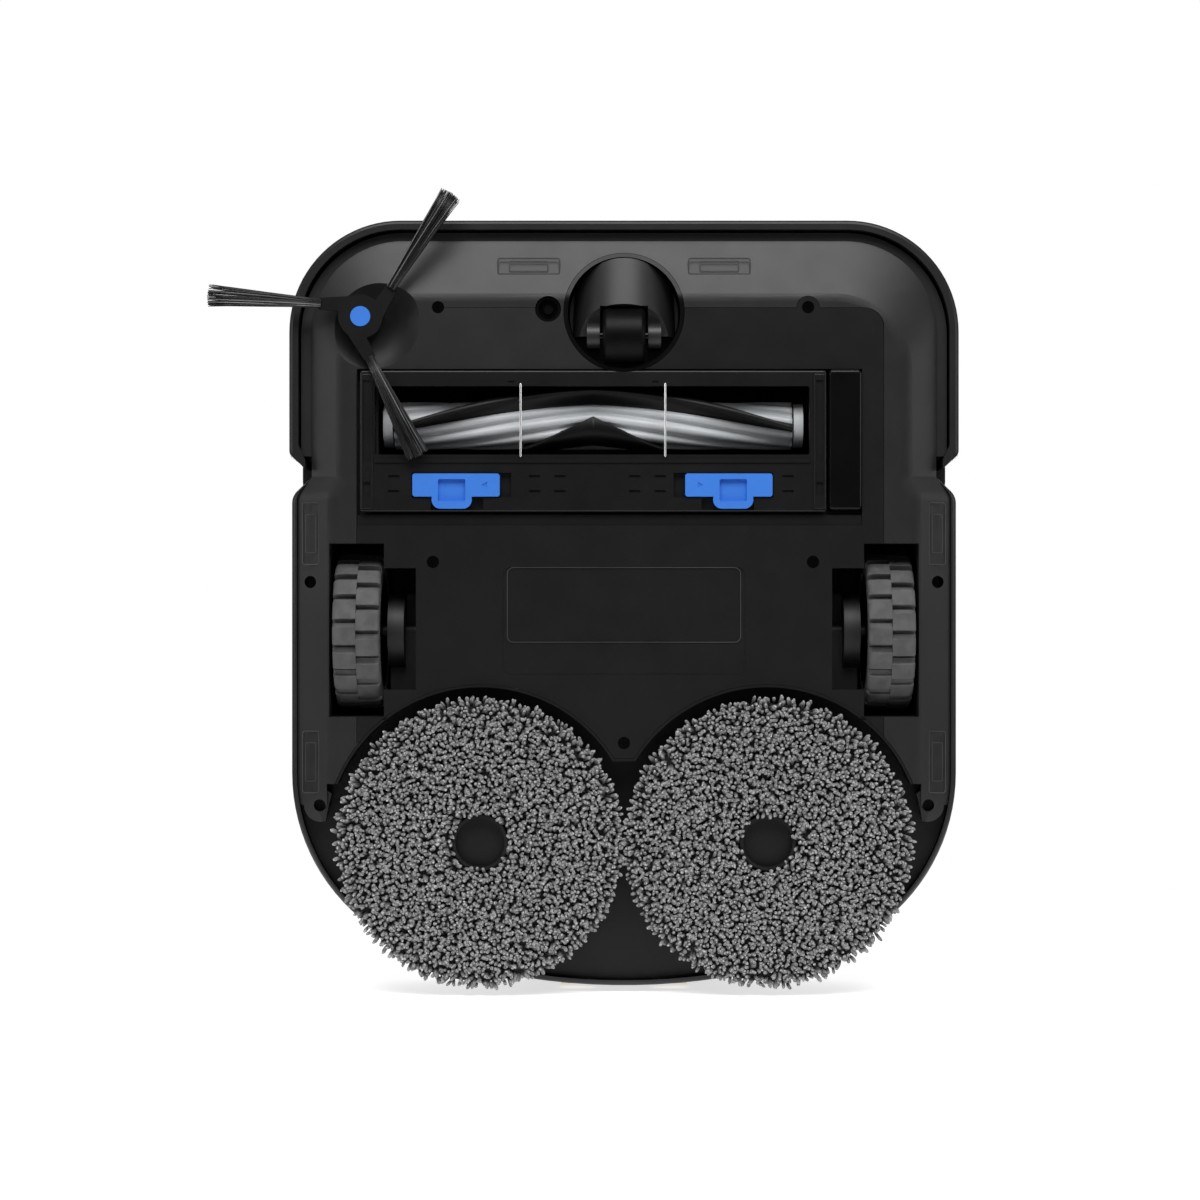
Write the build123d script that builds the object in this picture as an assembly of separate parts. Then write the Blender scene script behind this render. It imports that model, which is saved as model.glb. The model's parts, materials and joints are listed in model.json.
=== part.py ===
from build123d import *
import math
import os

# Robot vacuum with two spinning mops, in millimetres.
# Origin: on the floor, midway between the two drive wheels. +Z up, front towards -Y.

# ---- driving dimensions ------------------------------------------------------------------
HOUSING_HALF = 159.4            # half width of the rear housing
REAR_CORNER_R = 91.9            # rear corner arcs and the flatter tail arc between them
REAR_CORNER_Y = 66.8
REAR_CORNER_X = HOUSING_HALF - REAR_CORNER_R
TAIL_CENTRE_Y = -135.7
TAIL_R = REAR_CORNER_R + math.hypot(REAR_CORNER_X, REAR_CORNER_Y - TAIL_CENTRE_Y)
NOTCH_Y = -73.2                 # where the housing begins, behind the bumper
SHOULDER_RUN = 9.0              # length of the chamfer from the notch to full width
SHOULDER_R = 8.0

NOSE_HALF = 150.0               # fixed nose wall, inside the bumper
NOSE_FRONT = -187.0
NOSE_R = 45.5

BUMPER_HALF = 160.7
BUMPER_FRONT = -196.8
BUMPER_R = 55.3
BUMPER_END_Y = -76.8
BUMPER_WALL = 2.5
BUMPER_RIM = 7.1                # the rim reaches this far in from the widest outline
BUMPER_END_RUN = 7.0            # chamfer at each end of the bumper
BUMPER_LOW = 14.0
RIM_TOP = 18.6                  # the rim is solid up to here, under the ledge of the nose
BUMPER_TOP = 80.8

UNDER_Z = 10.0                  # flat underside
SKIRT_Z = 18.0                  # outer edge of the sloping skirt
WALL = 2.5                      # moulded floor thickness
HOUSING_LOW = 17.0
HOUSING_WALL = 3.0
WAIST_Z = 40.0                  # the walls are widest from here up
DRAFT = 0.113                   # and draw in by this much for each millimetre below it
WALL_DRAFT = 0.083              # the same inside the housing, whose wall thins downwards
HOUSING_TOP = 82.0
DECK_LOW = 82.2
DECK_TOP = 86.0
GAP = 0.2                       # clearance between fixed mouldings

WHEEL_R = 37.0
WHEEL_X = 125.4
WHEEL_WIDTH = 21.8
PIVOT_Y = 52.0                  # suspension pivot
PIVOT_Z = 38.0

BAY = (-125.5, 111.9, -123.6, -55.0)        # brush bay opening: x0, x1, y0, y1
ROLLER_Y = -97.8
ROLLER_Z = 26.0
ROLLER_X0 = -113.7
ROLLER_X1 = 84.6
ROLLER_CORE_R = 11.0
ROLLER_FIN_R = 18.2

CASTER_Y = -150.4
SOCKET_R = 26.5
SOCKET_WALL = 1.8
CASTER_TRAIL = 11.0
CASTER_R = 13.0
CASTER_WIDTH = 20.0

SIDE_BRUSH = (-123.6, -148.0)
SIDE_BRUSH_ANGLES = (-52.8, 67.2, 187.2)   # where the tip of each tuft points
BOWL = (-118.4, -146.0)
BOWL_R = 22.4
BOWL_TOP = 18.4
BOWL_WALL = 2.0
DISH_R = (BOWL_R ** 2 + (BOWL_TOP - 10.0) ** 2) / (2 * (BOWL_TOP - 10.0))

MOP_X = 67.3
MOP_Y = 98.5
MOP_R = 66.5
MOP_HOLE_R = 13.5
MOP_RECESS_R = 72.5
RECESS_WALL = 1.2
MOP_DECK_Z = 24.0
MOP_SHAFT_R = 8.0
MOP_SHAFT_HOLE_R = 10.4

PIN_FIT = 0.05                  # radial running fit of shafts and pins
FAR = 200.0                     # beyond any face of the machine


# ---- small tools ---------------------------------------------------------------------------
def save(name, *solids):
    """Write one sub-part, as one solid or as a group of separate ones."""
    shape = solids[0] if len(solids) == 1 else Compound(children=list(solids))
    shape.label = name
    export_step(shape, f"parts/{name}.step")


def slab(sketch, low, high):
    return extrude(Pos(0, 0, low) * sketch, amount=high - low)


def block(x0, x1, y0, y1, z0, z1):
    return Pos((x0 + x1) / 2, (y0 + y1) / 2, (z0 + z1) / 2) * Box(x1 - x0, y1 - y0, z1 - z0)


def soft_block(x0, x1, y0, y1, z0, z1, radius):
    """A block with its four upright edges rounded."""
    face = Pos((x0 + x1) / 2, (y0 + y1) / 2) * RectangleRounded(x1 - x0, y1 - y0, radius)
    return slab(face, z0, z1)


def post(x, y, radius, low, high):
    return Pos(x, y, (low + high) / 2) * Cylinder(radius, high - low)


def rod(x0, x1, y, z, radius):
    """A round bar along X."""
    return Pos((x0 + x1) / 2, y, z) * Rot(0, 90, 0) * Cylinder(radius, x1 - x0)


def rod_y(y0, y1, x, z, radius):
    """A round bar along Y."""
    return Pos(x, (y0 + y1) / 2, z) * Rot(90, 0, 0) * Cylinder(radius, y1 - y0)


def fused(pieces):
    whole = pieces[0]
    for piece in pieces[1:]:
        whole = whole + piece
    return whole


def outline(inset, nose_half, nose_front, nose_radius):
    """Plan of the body: a D-shaped nose, shoulders at the notch and a rounded tail."""
    half = HOUSING_HALF - inset
    meet = math.degrees(math.atan2(REAR_CORNER_Y - TAIL_CENTRE_Y, REAR_CORNER_X))
    with BuildSketch() as sketch:
        with BuildLine():
            Line((0, nose_front), (nose_half - nose_radius, nose_front))
            CenterArc((nose_half - nose_radius, nose_front + nose_radius), nose_radius, -90, 90)
            Line((nose_half, nose_front + nose_radius), (nose_half, NOTCH_Y))
            Line((nose_half, NOTCH_Y), (half, NOTCH_Y + SHOULDER_RUN))
            Line((half, NOTCH_Y + SHOULDER_RUN), (half, REAR_CORNER_Y))
            CenterArc((REAR_CORNER_X, REAR_CORNER_Y), REAR_CORNER_R - inset, 0, meet)
            CenterArc((0, TAIL_CENTRE_Y), TAIL_R - inset, meet, 90 - meet)
            mirror(about=Plane.YZ)
        make_face()
        shoulder_y = NOTCH_Y + SHOULDER_RUN
        fillet(sketch.vertices().filter_by_position(Axis.Y, shoulder_y - 0.01, shoulder_y + 0.01), SHOULDER_R)
    return sketch.sketch


ROUNDED_FOOT = ((0.0, 1.5), (0.5, 0.6), (1.6, 0.0))        # height above the foot, extra inset there
SHARP_FOOT = ((0.0, 0.0),)


def flared(plan, low, high, draft=DRAFT, foot=SHARP_FOOT):
    """An upright solid whose plan draws in below the waist; plan(inset) gives its outline."""
    sections = []
    for rise, extra in foot:
        sections.append(Pos(0, 0, low + rise) * plan(draft * (WAIST_Z - low - rise) + extra))
    sections.append(Pos(0, 0, WAIST_Z) * plan(0))
    sections.append(Pos(0, 0, high) * plan(0))
    return loft(sections, ruled=True)


def brim(inset=0.0):
    """Plan of the chassis base at the outer edge of its skirt."""
    return outline(5.1 + inset, 147.6 - inset, -184.6 + inset, 43.0 - inset)


def skirt_solid(lift):
    """The filled underside: a flat floor and a sloping skirt around it."""
    floor = outline(22.6, 132.6, -157.3, 34.0)
    hull = loft([Pos(0, 0, UNDER_Z) * floor, Pos(0, 0, SKIRT_Z) * brim()], ruled=True)
    low_edges = hull.edges().filter_by_position(Axis.Z, UNDER_Z - 0.01, UNDER_Z + 0.01)
    hull = fillet(low_edges, 14.0) + slab(brim(), SKIRT_Z, SKIRT_Z + WALL)
    return Pos(0, 0, lift) * hull


MOP_BRIDGE_X = 8.0              # the two mop recesses run together through a short flat-ended gap
MOP_BRIDGE_Y = 60.8


def mop_circles(radius, low, high):
    """Both mop recesses as one solid; the gap between them grows with the radius."""
    bridge_y = MOP_BRIDGE_Y - (radius - MOP_RECESS_R)
    circles = post(-MOP_X, MOP_Y, radius, low, high) + post(MOP_X, MOP_Y, radius, low, high)
    return circles + block(-MOP_BRIDGE_X, MOP_BRIDGE_X, bridge_y, MOP_Y, low, high)


PLATE_SCREWS = ((-87.4, -152.6), (86.5, -152.6), (-89.8, -32.9), (88.8, -32.9), (0.0, 52.2))
DEEP_BOSS_TOP = 29.0
DEEP_HOLES = ((-148.0, -23.5), (148.0, -23.5), (-143.4, 81.8), (143.4, 81.8))
CARPET_SENSOR = (-35.7, -151.8)
SENSOR_R = 5.9
SCREW_BOSS_R = 4.6
SCREW_HEAD_R = 2.7
SCREW_WELL_R = 2.9
SCREW_HOLE_R = 1.45
SCREW_WELL_TOP = 12.6
SCREW_BOSS_TOP = 15.0
WINDOWS = (                                        # centre, size along X, size along Y
    (-44.9, -172.3, 29.6, 8.0), (44.9, -172.3, 29.6, 8.0),
    (-147.6, -46.3, 8.2, 29.6), (147.6, -46.3, 8.2, 29.6),
    (-147.6, 61.3, 8.2, 29.6), (147.6, 61.3, 8.2, 29.6),
)
WHEEL_WELL = (112.8, 138.7, -41.6, 40.0)
GEAR_WELL = (97.8, 112.8, -30.0, 27.3)


def well_voids(low, high, grow=0.0):
    voids = []
    for side in (-1, 1):
        for x0, x1, y0, y1 in (WHEEL_WELL, GEAR_WELL):
            near, far = sorted((side * (x0 - grow), side * (x1 + grow)))
            voids.append(block(near, far, y0 - grow, y1 + grow, low, high))
    return fused(voids)


# ---- underside mouldings -------------------------------------------------------------------
PLATE_HALF = 122.0
PLATE_FRONT = -152.3
PLATE_CORNER = 9.0
PLATE_LUG_R = 10.0
SCREW_LUG_R = 5.2


def plate_plan(grow):
    """The screwed-down bottom plate, up to the mop recesses; the chassis fills its front left."""
    left, right = BAY[0] - grow, PLATE_HALF + grow
    front, rear = PLATE_FRONT - grow, 52.2
    body = soft_block(left, right, front, rear + 40, UNDER_Z - 1, 14, PLATE_CORNER)
    body -= block(-FAR, FAR, rear, rear + 60, 0, 20)
    body += post(0, rear, PLATE_LUG_R + grow, UNDER_Z - 1, 14)
    body += post(*PLATE_SCREWS[1], SCREW_LUG_R + grow, UNDER_Z - 1, 14)
    body -= block(-140, -10, -170, BAY[2], 0, 20)
    return body - mop_circles(MOP_RECESS_R + RECESS_WALL + 0.15 - grow, 0, 30)


LEDGE_LOW = 19.0                # thin ledge around the nose, just above the bumper's rim
LEDGE_END_Y = -83.0


def nose_ledge():
    ledge = slab(outline(5.1, 152.7, -188.7, 48.2), LEDGE_LOW, SKIRT_Z + WALL)
    ledge &= block(-FAR, FAR, -FAR, LEDGE_END_Y, 0, 40)
    return ledge - slab(brim(1.0), 0, 40)


def screw_boss(shell, x, y):
    """A boss inside the moulding, with a well for the screw head and a hole for its shank."""
    shell += post(x, y, SCREW_BOSS_R, UNDER_Z + WALL - 0.1, SCREW_BOSS_TOP)
    shell -= post(x, y, SCREW_WELL_R, 0, SCREW_WELL_TOP)
    return shell - post(x, y, SCREW_HOLE_R, 0, 20)


CHASSIS_REAR_Y = 81.8           # the base ends here, beside the mops
CHASSIS_ARM_X = 139.8           # behind this line only a narrow arm is left on each side
MOP_BAY_Y = 71.5
REAR_LUG_R = 7.8


def make_chassis():
    shell = skirt_solid(0) - skirt_solid(WALL) + nose_ledge()
    shell -= plate_plan(GAP)
    shell -= block(-FAR, FAR, CHASSIS_REAR_Y, FAR, 0, 40)
    shell -= block(-CHASSIS_ARM_X, CHASSIS_ARM_X, MOP_BAY_Y, FAR, 0, 40)
    shell -= block(-15, 15, 50, MOP_BAY_Y + 1, 0, 40)
    for x, y in DEEP_HOLES[2:]:
        shell += post(x, y, REAR_LUG_R, 14.0, SKIRT_Z + WALL) & skirt_solid(0)
    shell -= mop_circles(MOP_RECESS_R + RECESS_WALL + 0.15, 0, 40)
    shell -= well_voids(0, 40)
    dish_centre = Pos(*BOWL, BOWL_TOP - DISH_R)
    dish = dish_centre * Sphere(DISH_R + BOWL_WALL)
    shell += dish & (skirt_solid(0) + block(-150, -90, -175, -115, SKIRT_Z, BOWL_TOP + BOWL_WALL + 1))
    shell -= dish_centre * Sphere(DISH_R)
    shell -= block(*BAY, 0, 20)
    shell -= block(PLATE_SCREWS[0][0], CARPET_SENSOR[0], PLATE_FRONT - GAP, PLATE_FRONT, 0, UNDER_Z + 0.6)
    shell = screw_boss(shell, *PLATE_SCREWS[0])
    shell -= post(*SIDE_BRUSH, 3.0 + 0.4, 0, 30)
    shell -= post(0, CASTER_Y, SOCKET_R + SOCKET_WALL + GAP, 0, 40)
    shell -= post(*CARPET_SENSOR, SENSOR_R + GAP, 0, 40)
    for x, y in DEEP_HOLES:
        top = DEEP_BOSS_TOP if y < 0 else MOP_DECK_Z - GAP
        shell += post(x, y, SCREW_BOSS_R - GAP, SKIRT_Z, top) & slab(brim(0.3), 0, 60)
        shell -= post(x, y, SCREW_WELL_R, 0, top - 3.0)
        shell -= post(x, y, SCREW_HOLE_R, 0, 60.0)
    for x, y, wide, deep in WINDOWS:
        shell -= slab(Pos(x, y) * RectangleRounded(wide, deep, 1.2), 0, 40)
    return shell


def make_windows():
    """Sensor windows: tinted panes that follow the skirt, set in by half a millimetre."""
    panes = []
    pane_stock = skirt_solid(0.5) - skirt_solid(1.7)
    for x, y, wide, deep in WINDOWS:
        panes.append(pane_stock & slab(Pos(x, y) * RectangleRounded(wide - 0.3, deep - 0.3, 1.1), 0, 40))
    return panes


def make_cliff_sensors():
    """An emitter and receiver block behind each window."""
    blocks = []
    for x, y, wide, deep in WINDOWS:
        blocks.append(block(x - 0.3 * wide, x + 0.3 * wide, y - 0.3 * deep, y + 0.3 * deep, 21.2, 27.0))
    return blocks


def make_bottom_plate():
    plate = plate_plan(0) & block(-FAR, FAR, -FAR, FAR, UNDER_Z, UNDER_Z + WALL)
    plate -= block(BAY[0], BAY[1], BAY[2], BAY[3], 0, 20)
    plate -= block(BAY[0], BAY[1], BAY[3] - 1, -50.0, 0, UNDER_Z + 1.2)
    plate -= post(*BOWL, BOWL_R + 2.6, 0, 20)
    plate -= well_voids(0, 20)
    plate -= post(0, CASTER_Y, SOCKET_R + SOCKET_WALL + GAP, 0, 20)
    plate -= post(*CARPET_SENSOR, SENSOR_R + GAP, 0, 20)
    plate -= soft_block(-57, 57, -30.5, 20, UNDER_Z - 1, UNDER_Z + 0.4, 4.0)
    for x, y in PLATE_SCREWS[1:]:
        plate = screw_boss(plate, x, y)
    return plate


def screw(x, y, head_low, length):
    """A cross-head screw, head down."""
    head = post(x, y, SCREW_HEAD_R, head_low, head_low + 1.6)
    head -= block(x - 1.6, x + 1.6, y - 0.35, y + 0.35, head_low - 1, head_low + 0.9)
    head -= block(x - 0.35, x + 0.35, y - 1.6, y + 1.6, head_low - 1, head_low + 0.9)
    return head + post(x, y, 1.35, head_low + 1.6, head_low + length)


MOP_DECK_INSET = 4.8


def make_mop_deck():
    """Ceiling over the mops, with the recess walls that hang from it."""
    plan = outline(MOP_DECK_INSET, 140.0, -150.0, 40.0)
    region = slab(plan, MOP_DECK_Z, MOP_DECK_Z + WALL)
    region &= block(-FAR, FAR, MOP_BAY_Y, FAR, 0, 60)
    deck = region + mop_circles(MOP_RECESS_R + RECESS_WALL, MOP_DECK_Z, MOP_DECK_Z + WALL)
    walls = mop_circles(MOP_RECESS_R + RECESS_WALL, UNDER_Z, MOP_DECK_Z + 0.5)
    walls -= block(-FAR, FAR, MOP_BAY_Y, FAR, 0, 60)
    walls -= mop_circles(MOP_RECESS_R, 0, MOP_DECK_Z)
    deck += walls
    deck &= slab(plan, 0, 60)
    deck -= well_voids(0, 60, grow=1.2)
    for side in (-1, 1):
        deck -= post(side * MOP_X, MOP_Y, MOP_SHAFT_HOLE_R, 0, 60)
    for x, y in DEEP_HOLES:
        deck -= post(x, y, 1.6, 0, 60)
    return deck


def housing_plan(inset):
    return outline(inset, NOSE_HALF - inset, NOSE_FRONT + inset, NOSE_R - inset)


def housing_void_plan(inset):
    return housing_plan(inset + HOUSING_WALL)


def make_side_housing():
    """Upright wall all round, drawn in and rounded towards the floor."""
    outer = flared(housing_plan, HOUSING_LOW, HOUSING_TOP, foot=ROUNDED_FOOT)
    inner = flared(housing_void_plan, HOUSING_LOW - 1, HOUSING_TOP + 1, WALL_DRAFT)
    under = slab(brim(-GAP), 0, SKIRT_Z + WALL + GAP)
    nose_lift = block(-FAR, FAR, -FAR, NOTCH_Y, 0, SKIRT_Z + WALL + GAP)
    wall = outer - inner - under - nose_lift
    for side in (-1, 1):
        x0, x1 = sorted((side * 14.0, side * 30.0))
        wall -= block(x0 - 0.1, x1 + 0.1, 160, 175, 29.9, 38.1)
    return wall


def make_top_deck():
    deck = slab(top_plan(1.4), DECK_LOW, DECK_TOP)
    top_edges = deck.edges().filter_by_position(Axis.Z, DECK_TOP - 0.01, DECK_TOP + 0.01)
    deck = fillet(top_edges, 3.0)
    deck -= soft_block(-98.4, 98.4, -72.4, 26.6, 83.3, 90, 10.0)
    deck -= soft_block(-94, 94, -68, 26.6, 80, 90, 8.0)
    deck -= post(0, LIDAR_Y, 38.0, 83.4, 90)
    deck -= post(0, LIDAR_Y, 3.0 + PIN_FIT, 80, 90)
    deck -= rod(-100.6, 100.6, LID_HINGE_Y, LID_HINGE_Z, 1.2 + PIN_FIT)
    deck -= rod(-98.4, 98.4, LID_HINGE_Y, LID_HINGE_Z, 2.3)
    for x in (-BUTTON_X, BUTTON_X):
        deck -= post(x, BUTTON_Y, BUTTON_R + 0.3, 80, 90)
    return deck


def top_plan(inset):
    """Plan of the whole top, bumper included."""
    return outline(inset, BUMPER_HALF - inset, BUMPER_FRONT + inset, BUMPER_R - inset)


# ---- bumper ----------------------------------------------------------------------------------
def nose_plan(half, front, radius, rear, tip_half):
    """Plan of the bumper: straight front, round corners, sides that end in a chamfer."""
    with BuildSketch() as sketch:
        with BuildLine():
            Line((0, front), (half - radius, front))
            CenterArc((half - radius, front + radius), radius, -90, 90)
            Line((half, front + radius), (half, rear - BUMPER_END_RUN))
            Line((half, rear - BUMPER_END_RUN), (tip_half, rear))
            Line((tip_half, rear), (0, rear))
            mirror(about=Plane.YZ)
        make_face()
        corner_y = rear - BUMPER_END_RUN
        fillet(sketch.vertices().filter_by_position(Axis.Y, corner_y - 0.01, corner_y + 0.01), 4.0)
    return sketch.sketch


def bumper_plan(inset, rear=BUMPER_END_Y, tip_half=150.4):
    return nose_plan(BUMPER_HALF - inset, BUMPER_FRONT + inset, BUMPER_R - inset, rear, tip_half)


def make_bumper():
    outer = flared(bumper_plan, BUMPER_LOW, BUMPER_TOP, foot=ROUNDED_FOOT)
    outer = fillet(outer.edges().filter_by_position(Axis.Z, BUMPER_TOP - 0.01, BUMPER_TOP + 0.01), 2.2)
    hollow = flared(lambda inset: bumper_plan(inset + BUMPER_WALL, -81.0, 153.6), RIM_TOP, 100)
    rim_hole = slab(bumper_plan(BUMPER_RIM, -81.0, 150.4), 0, 30.0)
    shell = outer - hollow - rim_hole - block(-150.4, 150.4, -110, -60, 0, 100)
    shell -= block(-WINDOW_HALF, WINDOW_HALF, BUMPER_FRONT - 1, BUMPER_FRONT + 1.2, WINDOW_LOW, WINDOW_TOP)
    return shell


WINDOW_HALF = 88.0
WINDOW_LOW = 40.2
WINDOW_TOP = 64.0


def make_bumper_window():
    return block(-WINDOW_HALF + 0.1, WINDOW_HALF - 0.1, BUMPER_FRONT, BUMPER_FRONT + 1.2,
                 WINDOW_LOW + 0.1, WINDOW_TOP - 0.1)


# ---- brush bay, guard and latches --------------------------------------------------------------
HOOD_R = 22.8                   # hood over the roller
HOOD_WALL = 1.8
TRAY_TOP = 17.0                 # ceiling of the shallow tray around the hood
HOOD_X0 = -116.0
HOOD_X1 = 88.0
GEARBOX = (96.0, 111.7, -123.3, -57.2)
BAY_LOW = UNDER_Z + WALL + GAP


def make_brush_bay():
    """Liner: a hood over the roller in a shallow tray, with a duct to the dust bin."""
    tray = block(BAY[0] - 1.5, BAY[1] + 1.5, BAY[2] - 1.4, BAY[3] + 1.4, BAY_LOW, 18.5)
    tray -= block(BAY[0], BAY[1], BAY[2], BAY[3], 0, TRAY_TOP)
    x0, x1 = HOOD_X0 - HOOD_WALL, HOOD_X1 + HOOD_WALL
    outer_r = HOOD_R + HOOD_WALL
    hood = rod(x0, x1, ROLLER_Y, ROLLER_Z, outer_r)
    hood += block(x0, x1, ROLLER_Y - outer_r, ROLLER_Y + outer_r, TRAY_TOP, ROLLER_Z)
    hood -= block(-FAR, FAR, -FAR, 0, 0, TRAY_TOP)
    void = rod(HOOD_X0, HOOD_X1, ROLLER_Y, ROLLER_Z, HOOD_R)
    void += block(HOOD_X0, HOOD_X1, ROLLER_Y - HOOD_R, ROLLER_Y + HOOD_R, 0, ROLLER_Z)
    duct = block(-32, 32, -90, -60.4, 34.0, 48.0)
    duct_void = block(-30, 30, -95, -60, 35.8, 46.2)
    liner = tray + hood + duct - void - duct_void
    liner -= rod(HOOD_X0 - 3, HOOD_X0 + 1, ROLLER_Y, ROLLER_Z, 3.0 + PIN_FIT)
    liner -= rod(HOOD_X1 - 1, HOOD_X1 + 3, ROLLER_Y, ROLLER_Z, 3.0 + 0.4)
    liner -= block(GEARBOX[0] - 0.2, GEARBOX[1] + 0.2, GEARBOX[2] - 0.2, GEARBOX[3] + 0.2, 0, 60)
    return liner - post(0, CASTER_Y, SOCKET_R + SOCKET_WALL + GAP, 0, 40)


def make_brush_gearbox():
    case = soft_block(*GEARBOX, 7.6, 44.0, 2.0)
    low_edges = case.edges().filter_by_position(Axis.Z, 7.59, 7.61)
    case = fillet(low_edges, 1.6)
    return case - rod(GEARBOX[0] - 1, GEARBOX[0] + 9, ROLLER_Y, ROLLER_Z, 3.0 + PIN_FIT)


def make_brush_motor():
    can = rod(GEARBOX[1] + 0.6, 142.0, -92.0, 33.5, 13.0)
    return can + rod(142.0, 144.5, -92.0, 33.5, 4.0)


GUARD = (-123.8, 95.0, -122.7, -56.4)
GUARD_HOLE = (-117.0, 87.0, -115.4, -83.2)
GUARD_LOW = 7.6
GUARD_TOP = 12.2
WIRES_X = (-48.4, 19.3)
WIRE_R = 0.5
WIRE_BITE = 0.8                 # each wire bends up into the frame this far beyond the opening
WIRE_Z = 5.6
LATCH_Y0 = -74.3
LATCH_Y1 = -63.5
LATCH_TAB_Y = -57.8
LATCH_LENGTH = 40.9
LATCH_TAB = (9.0, 27.8)
LATCH_TRAVEL = 5.0
LATCH_GAP = 0.4
LATCH_SLOT_TOP = GUARD_LOW + 2.9
LATCHES = {"left": (-99.2, 1), "right": (69.6, -1)}        # outer end and slide direction


RAIL_WIDTH = 5.6                # raised rail along each end of the guard
RAIL_LOW = GUARD_LOW - 0.9
RAIL_INSERT = (-118.0, -80.0)   # rear and front end of the long sunk panel in each rail
RAIL_CLIP = (-75.5, -70.5)
RAIL_POCKET = (-70.0, -64.0)
RIDGE_Y = (-81.4, -79.4)
SLOT_MARKS_X = (-108.0, -42.0, -30.0, 5.0, 17.0, 77.0)


def guard_rail(x0):
    """Raised rail with a sunk panel, a small clip and a pocket beside the latch."""
    x1 = x0 + RAIL_WIDTH
    rail = soft_block(x0, x1, GUARD[2] + 1.6, GUARD[3] - 1.2, RAIL_LOW, GUARD_LOW + 1.0, 1.0)
    rail = fillet(rail.edges().filter_by_position(Axis.Z, RAIL_LOW - 0.01, RAIL_LOW + 0.01), 0.5)
    rail -= block(x0 + 1.1, x1 - 1.1, *RAIL_INSERT, 0, RAIL_LOW + 0.7)
    rail -= block(x0 + 1.1, x1 - 1.1, *RAIL_POCKET, 0, GUARD_LOW + 0.6)
    return rail + block(x0 + 1.4, x1 - 1.4, *RAIL_CLIP, RAIL_LOW - 0.5, GUARD_LOW)


def make_brush_guard():
    frame = soft_block(*GUARD, GUARD_LOW, GUARD_TOP, 1.2)
    low_edges = frame.edges().filter_by_position(Axis.Z, GUARD_LOW - 0.01, GUARD_LOW + 0.01)
    frame = fillet(low_edges, 0.9)
    for x0 in (GUARD[0] + 0.4, GUARD[1] - 0.4 - RAIL_WIDTH):
        frame += guard_rail(x0)
    frame += block(GUARD_HOLE[0] - 0.4, GUARD_HOLE[1] + 0.4, *RIDGE_Y, GUARD_LOW - 0.7, GUARD_LOW + 1)
    frame -= soft_block(*GUARD_HOLE, 0, 20, 1.0)
    for x in SLOT_MARKS_X:
        for y in (-73.0, -66.0):
            frame -= block(x - 2.6, x + 2.6, y - 0.6, y + 0.6, 0, GUARD_LOW + 0.9)
    for end_x, way in LATCHES.values():
        x0, x1 = sorted((end_x - way * LATCH_GAP, end_x + way * (LATCH_LENGTH + LATCH_TRAVEL + LATCH_GAP)))
        frame -= block(x0, x1, LATCH_Y0 - LATCH_GAP, LATCH_Y1 + LATCH_GAP, 0, LATCH_SLOT_TOP)
        tab_in, tab_out = LATCH_TAB[0] - LATCH_GAP, LATCH_TAB[1] + LATCH_TRAVEL + LATCH_GAP
        t0, t1 = sorted((end_x + way * tab_in, end_x + way * tab_out))
        frame -= block(t0, t1, LATCH_Y1, LATCH_TAB_Y + 0.6, 0, LATCH_SLOT_TOP)
    for x in WIRES_X:
        for y in (GUARD_HOLE[2] - WIRE_BITE, GUARD_HOLE[3] + WIRE_BITE):
            frame -= post(x, y, WIRE_R, 0, GUARD_LOW + 2.0)
        frame -= block(x - 6.0, x - 3.0, GUARD_HOLE[2] - 2.4, GUARD_HOLE[2] - 1.6, 0, GUARD_LOW + 0.6)
    return frame - post(0, CASTER_Y, SOCKET_R + SOCKET_WALL + GAP, 0, 40)


def make_guard_wires():
    wires = []
    for x in WIRES_X:
        y0, y1 = GUARD_HOLE[2] - WIRE_BITE, GUARD_HOLE[3] + WIRE_BITE
        wire = rod_y(y0, y1, x, WIRE_Z, WIRE_R)
        for y in (y0, y1):
            wire += Pos(x, y, WIRE_Z) * Sphere(WIRE_R)
            wire += post(x, y, WIRE_R, WIRE_Z, GUARD_LOW + 2.0)
        wires.append(wire)
    return wires


ARROW_TIP = 4.6 + 28.0          # from the latch's end to the point of its arrow mark
ARROW_Y = -69.0


def make_latch(end_x, way):
    """Sliding catch: a bar, a tab towards the rear and a finger pocket between them."""
    x0, x1 = sorted((end_x, end_x + way * LATCH_LENGTH))
    t0, t1 = sorted((end_x + way * LATCH_TAB[0], end_x + way * LATCH_TAB[1]))
    bar = soft_block(x0, x1, LATCH_Y0, LATCH_Y1, GUARD_LOW - 1.0, GUARD_LOW + 2.4, 1.2)
    tab = soft_block(t0, t1, LATCH_Y1 - 3.0, LATCH_TAB_Y, GUARD_LOW - 1.0, GUARD_LOW + 2.4, 4.2)
    catch = bar + tab
    pocket = soft_block(t0 + 3.0, t1 - 3.0, LATCH_Y0 + 2.6, LATCH_Y1 + 2.2, 0, GUARD_LOW + 1.2, 0.8)
    tip_x = end_x + way * ARROW_TIP
    arrow = make_face(Polyline((tip_x, ARROW_Y), (tip_x + way * 2.4, ARROW_Y - 1.3),
                               (tip_x + way * 2.4, ARROW_Y + 1.3), close=True))
    return catch - pocket - slab(arrow, 0, GUARD_LOW - 0.6)


# ---- roller ----------------------------------------------------------------------------------
def make_roller_core():
    core = rod(ROLLER_X0 + 4.4, ROLLER_X1 - 4.4, ROLLER_Y, ROLLER_Z, ROLLER_CORE_R)
    core += rod(ROLLER_X0 - 3.4, ROLLER_X0 + 5, ROLLER_Y, ROLLER_Z, 3.0)
    return core + rod(ROLLER_X1 - 5, GEARBOX[0] + 8.0, ROLLER_Y, ROLLER_Z, 3.0)


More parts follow.
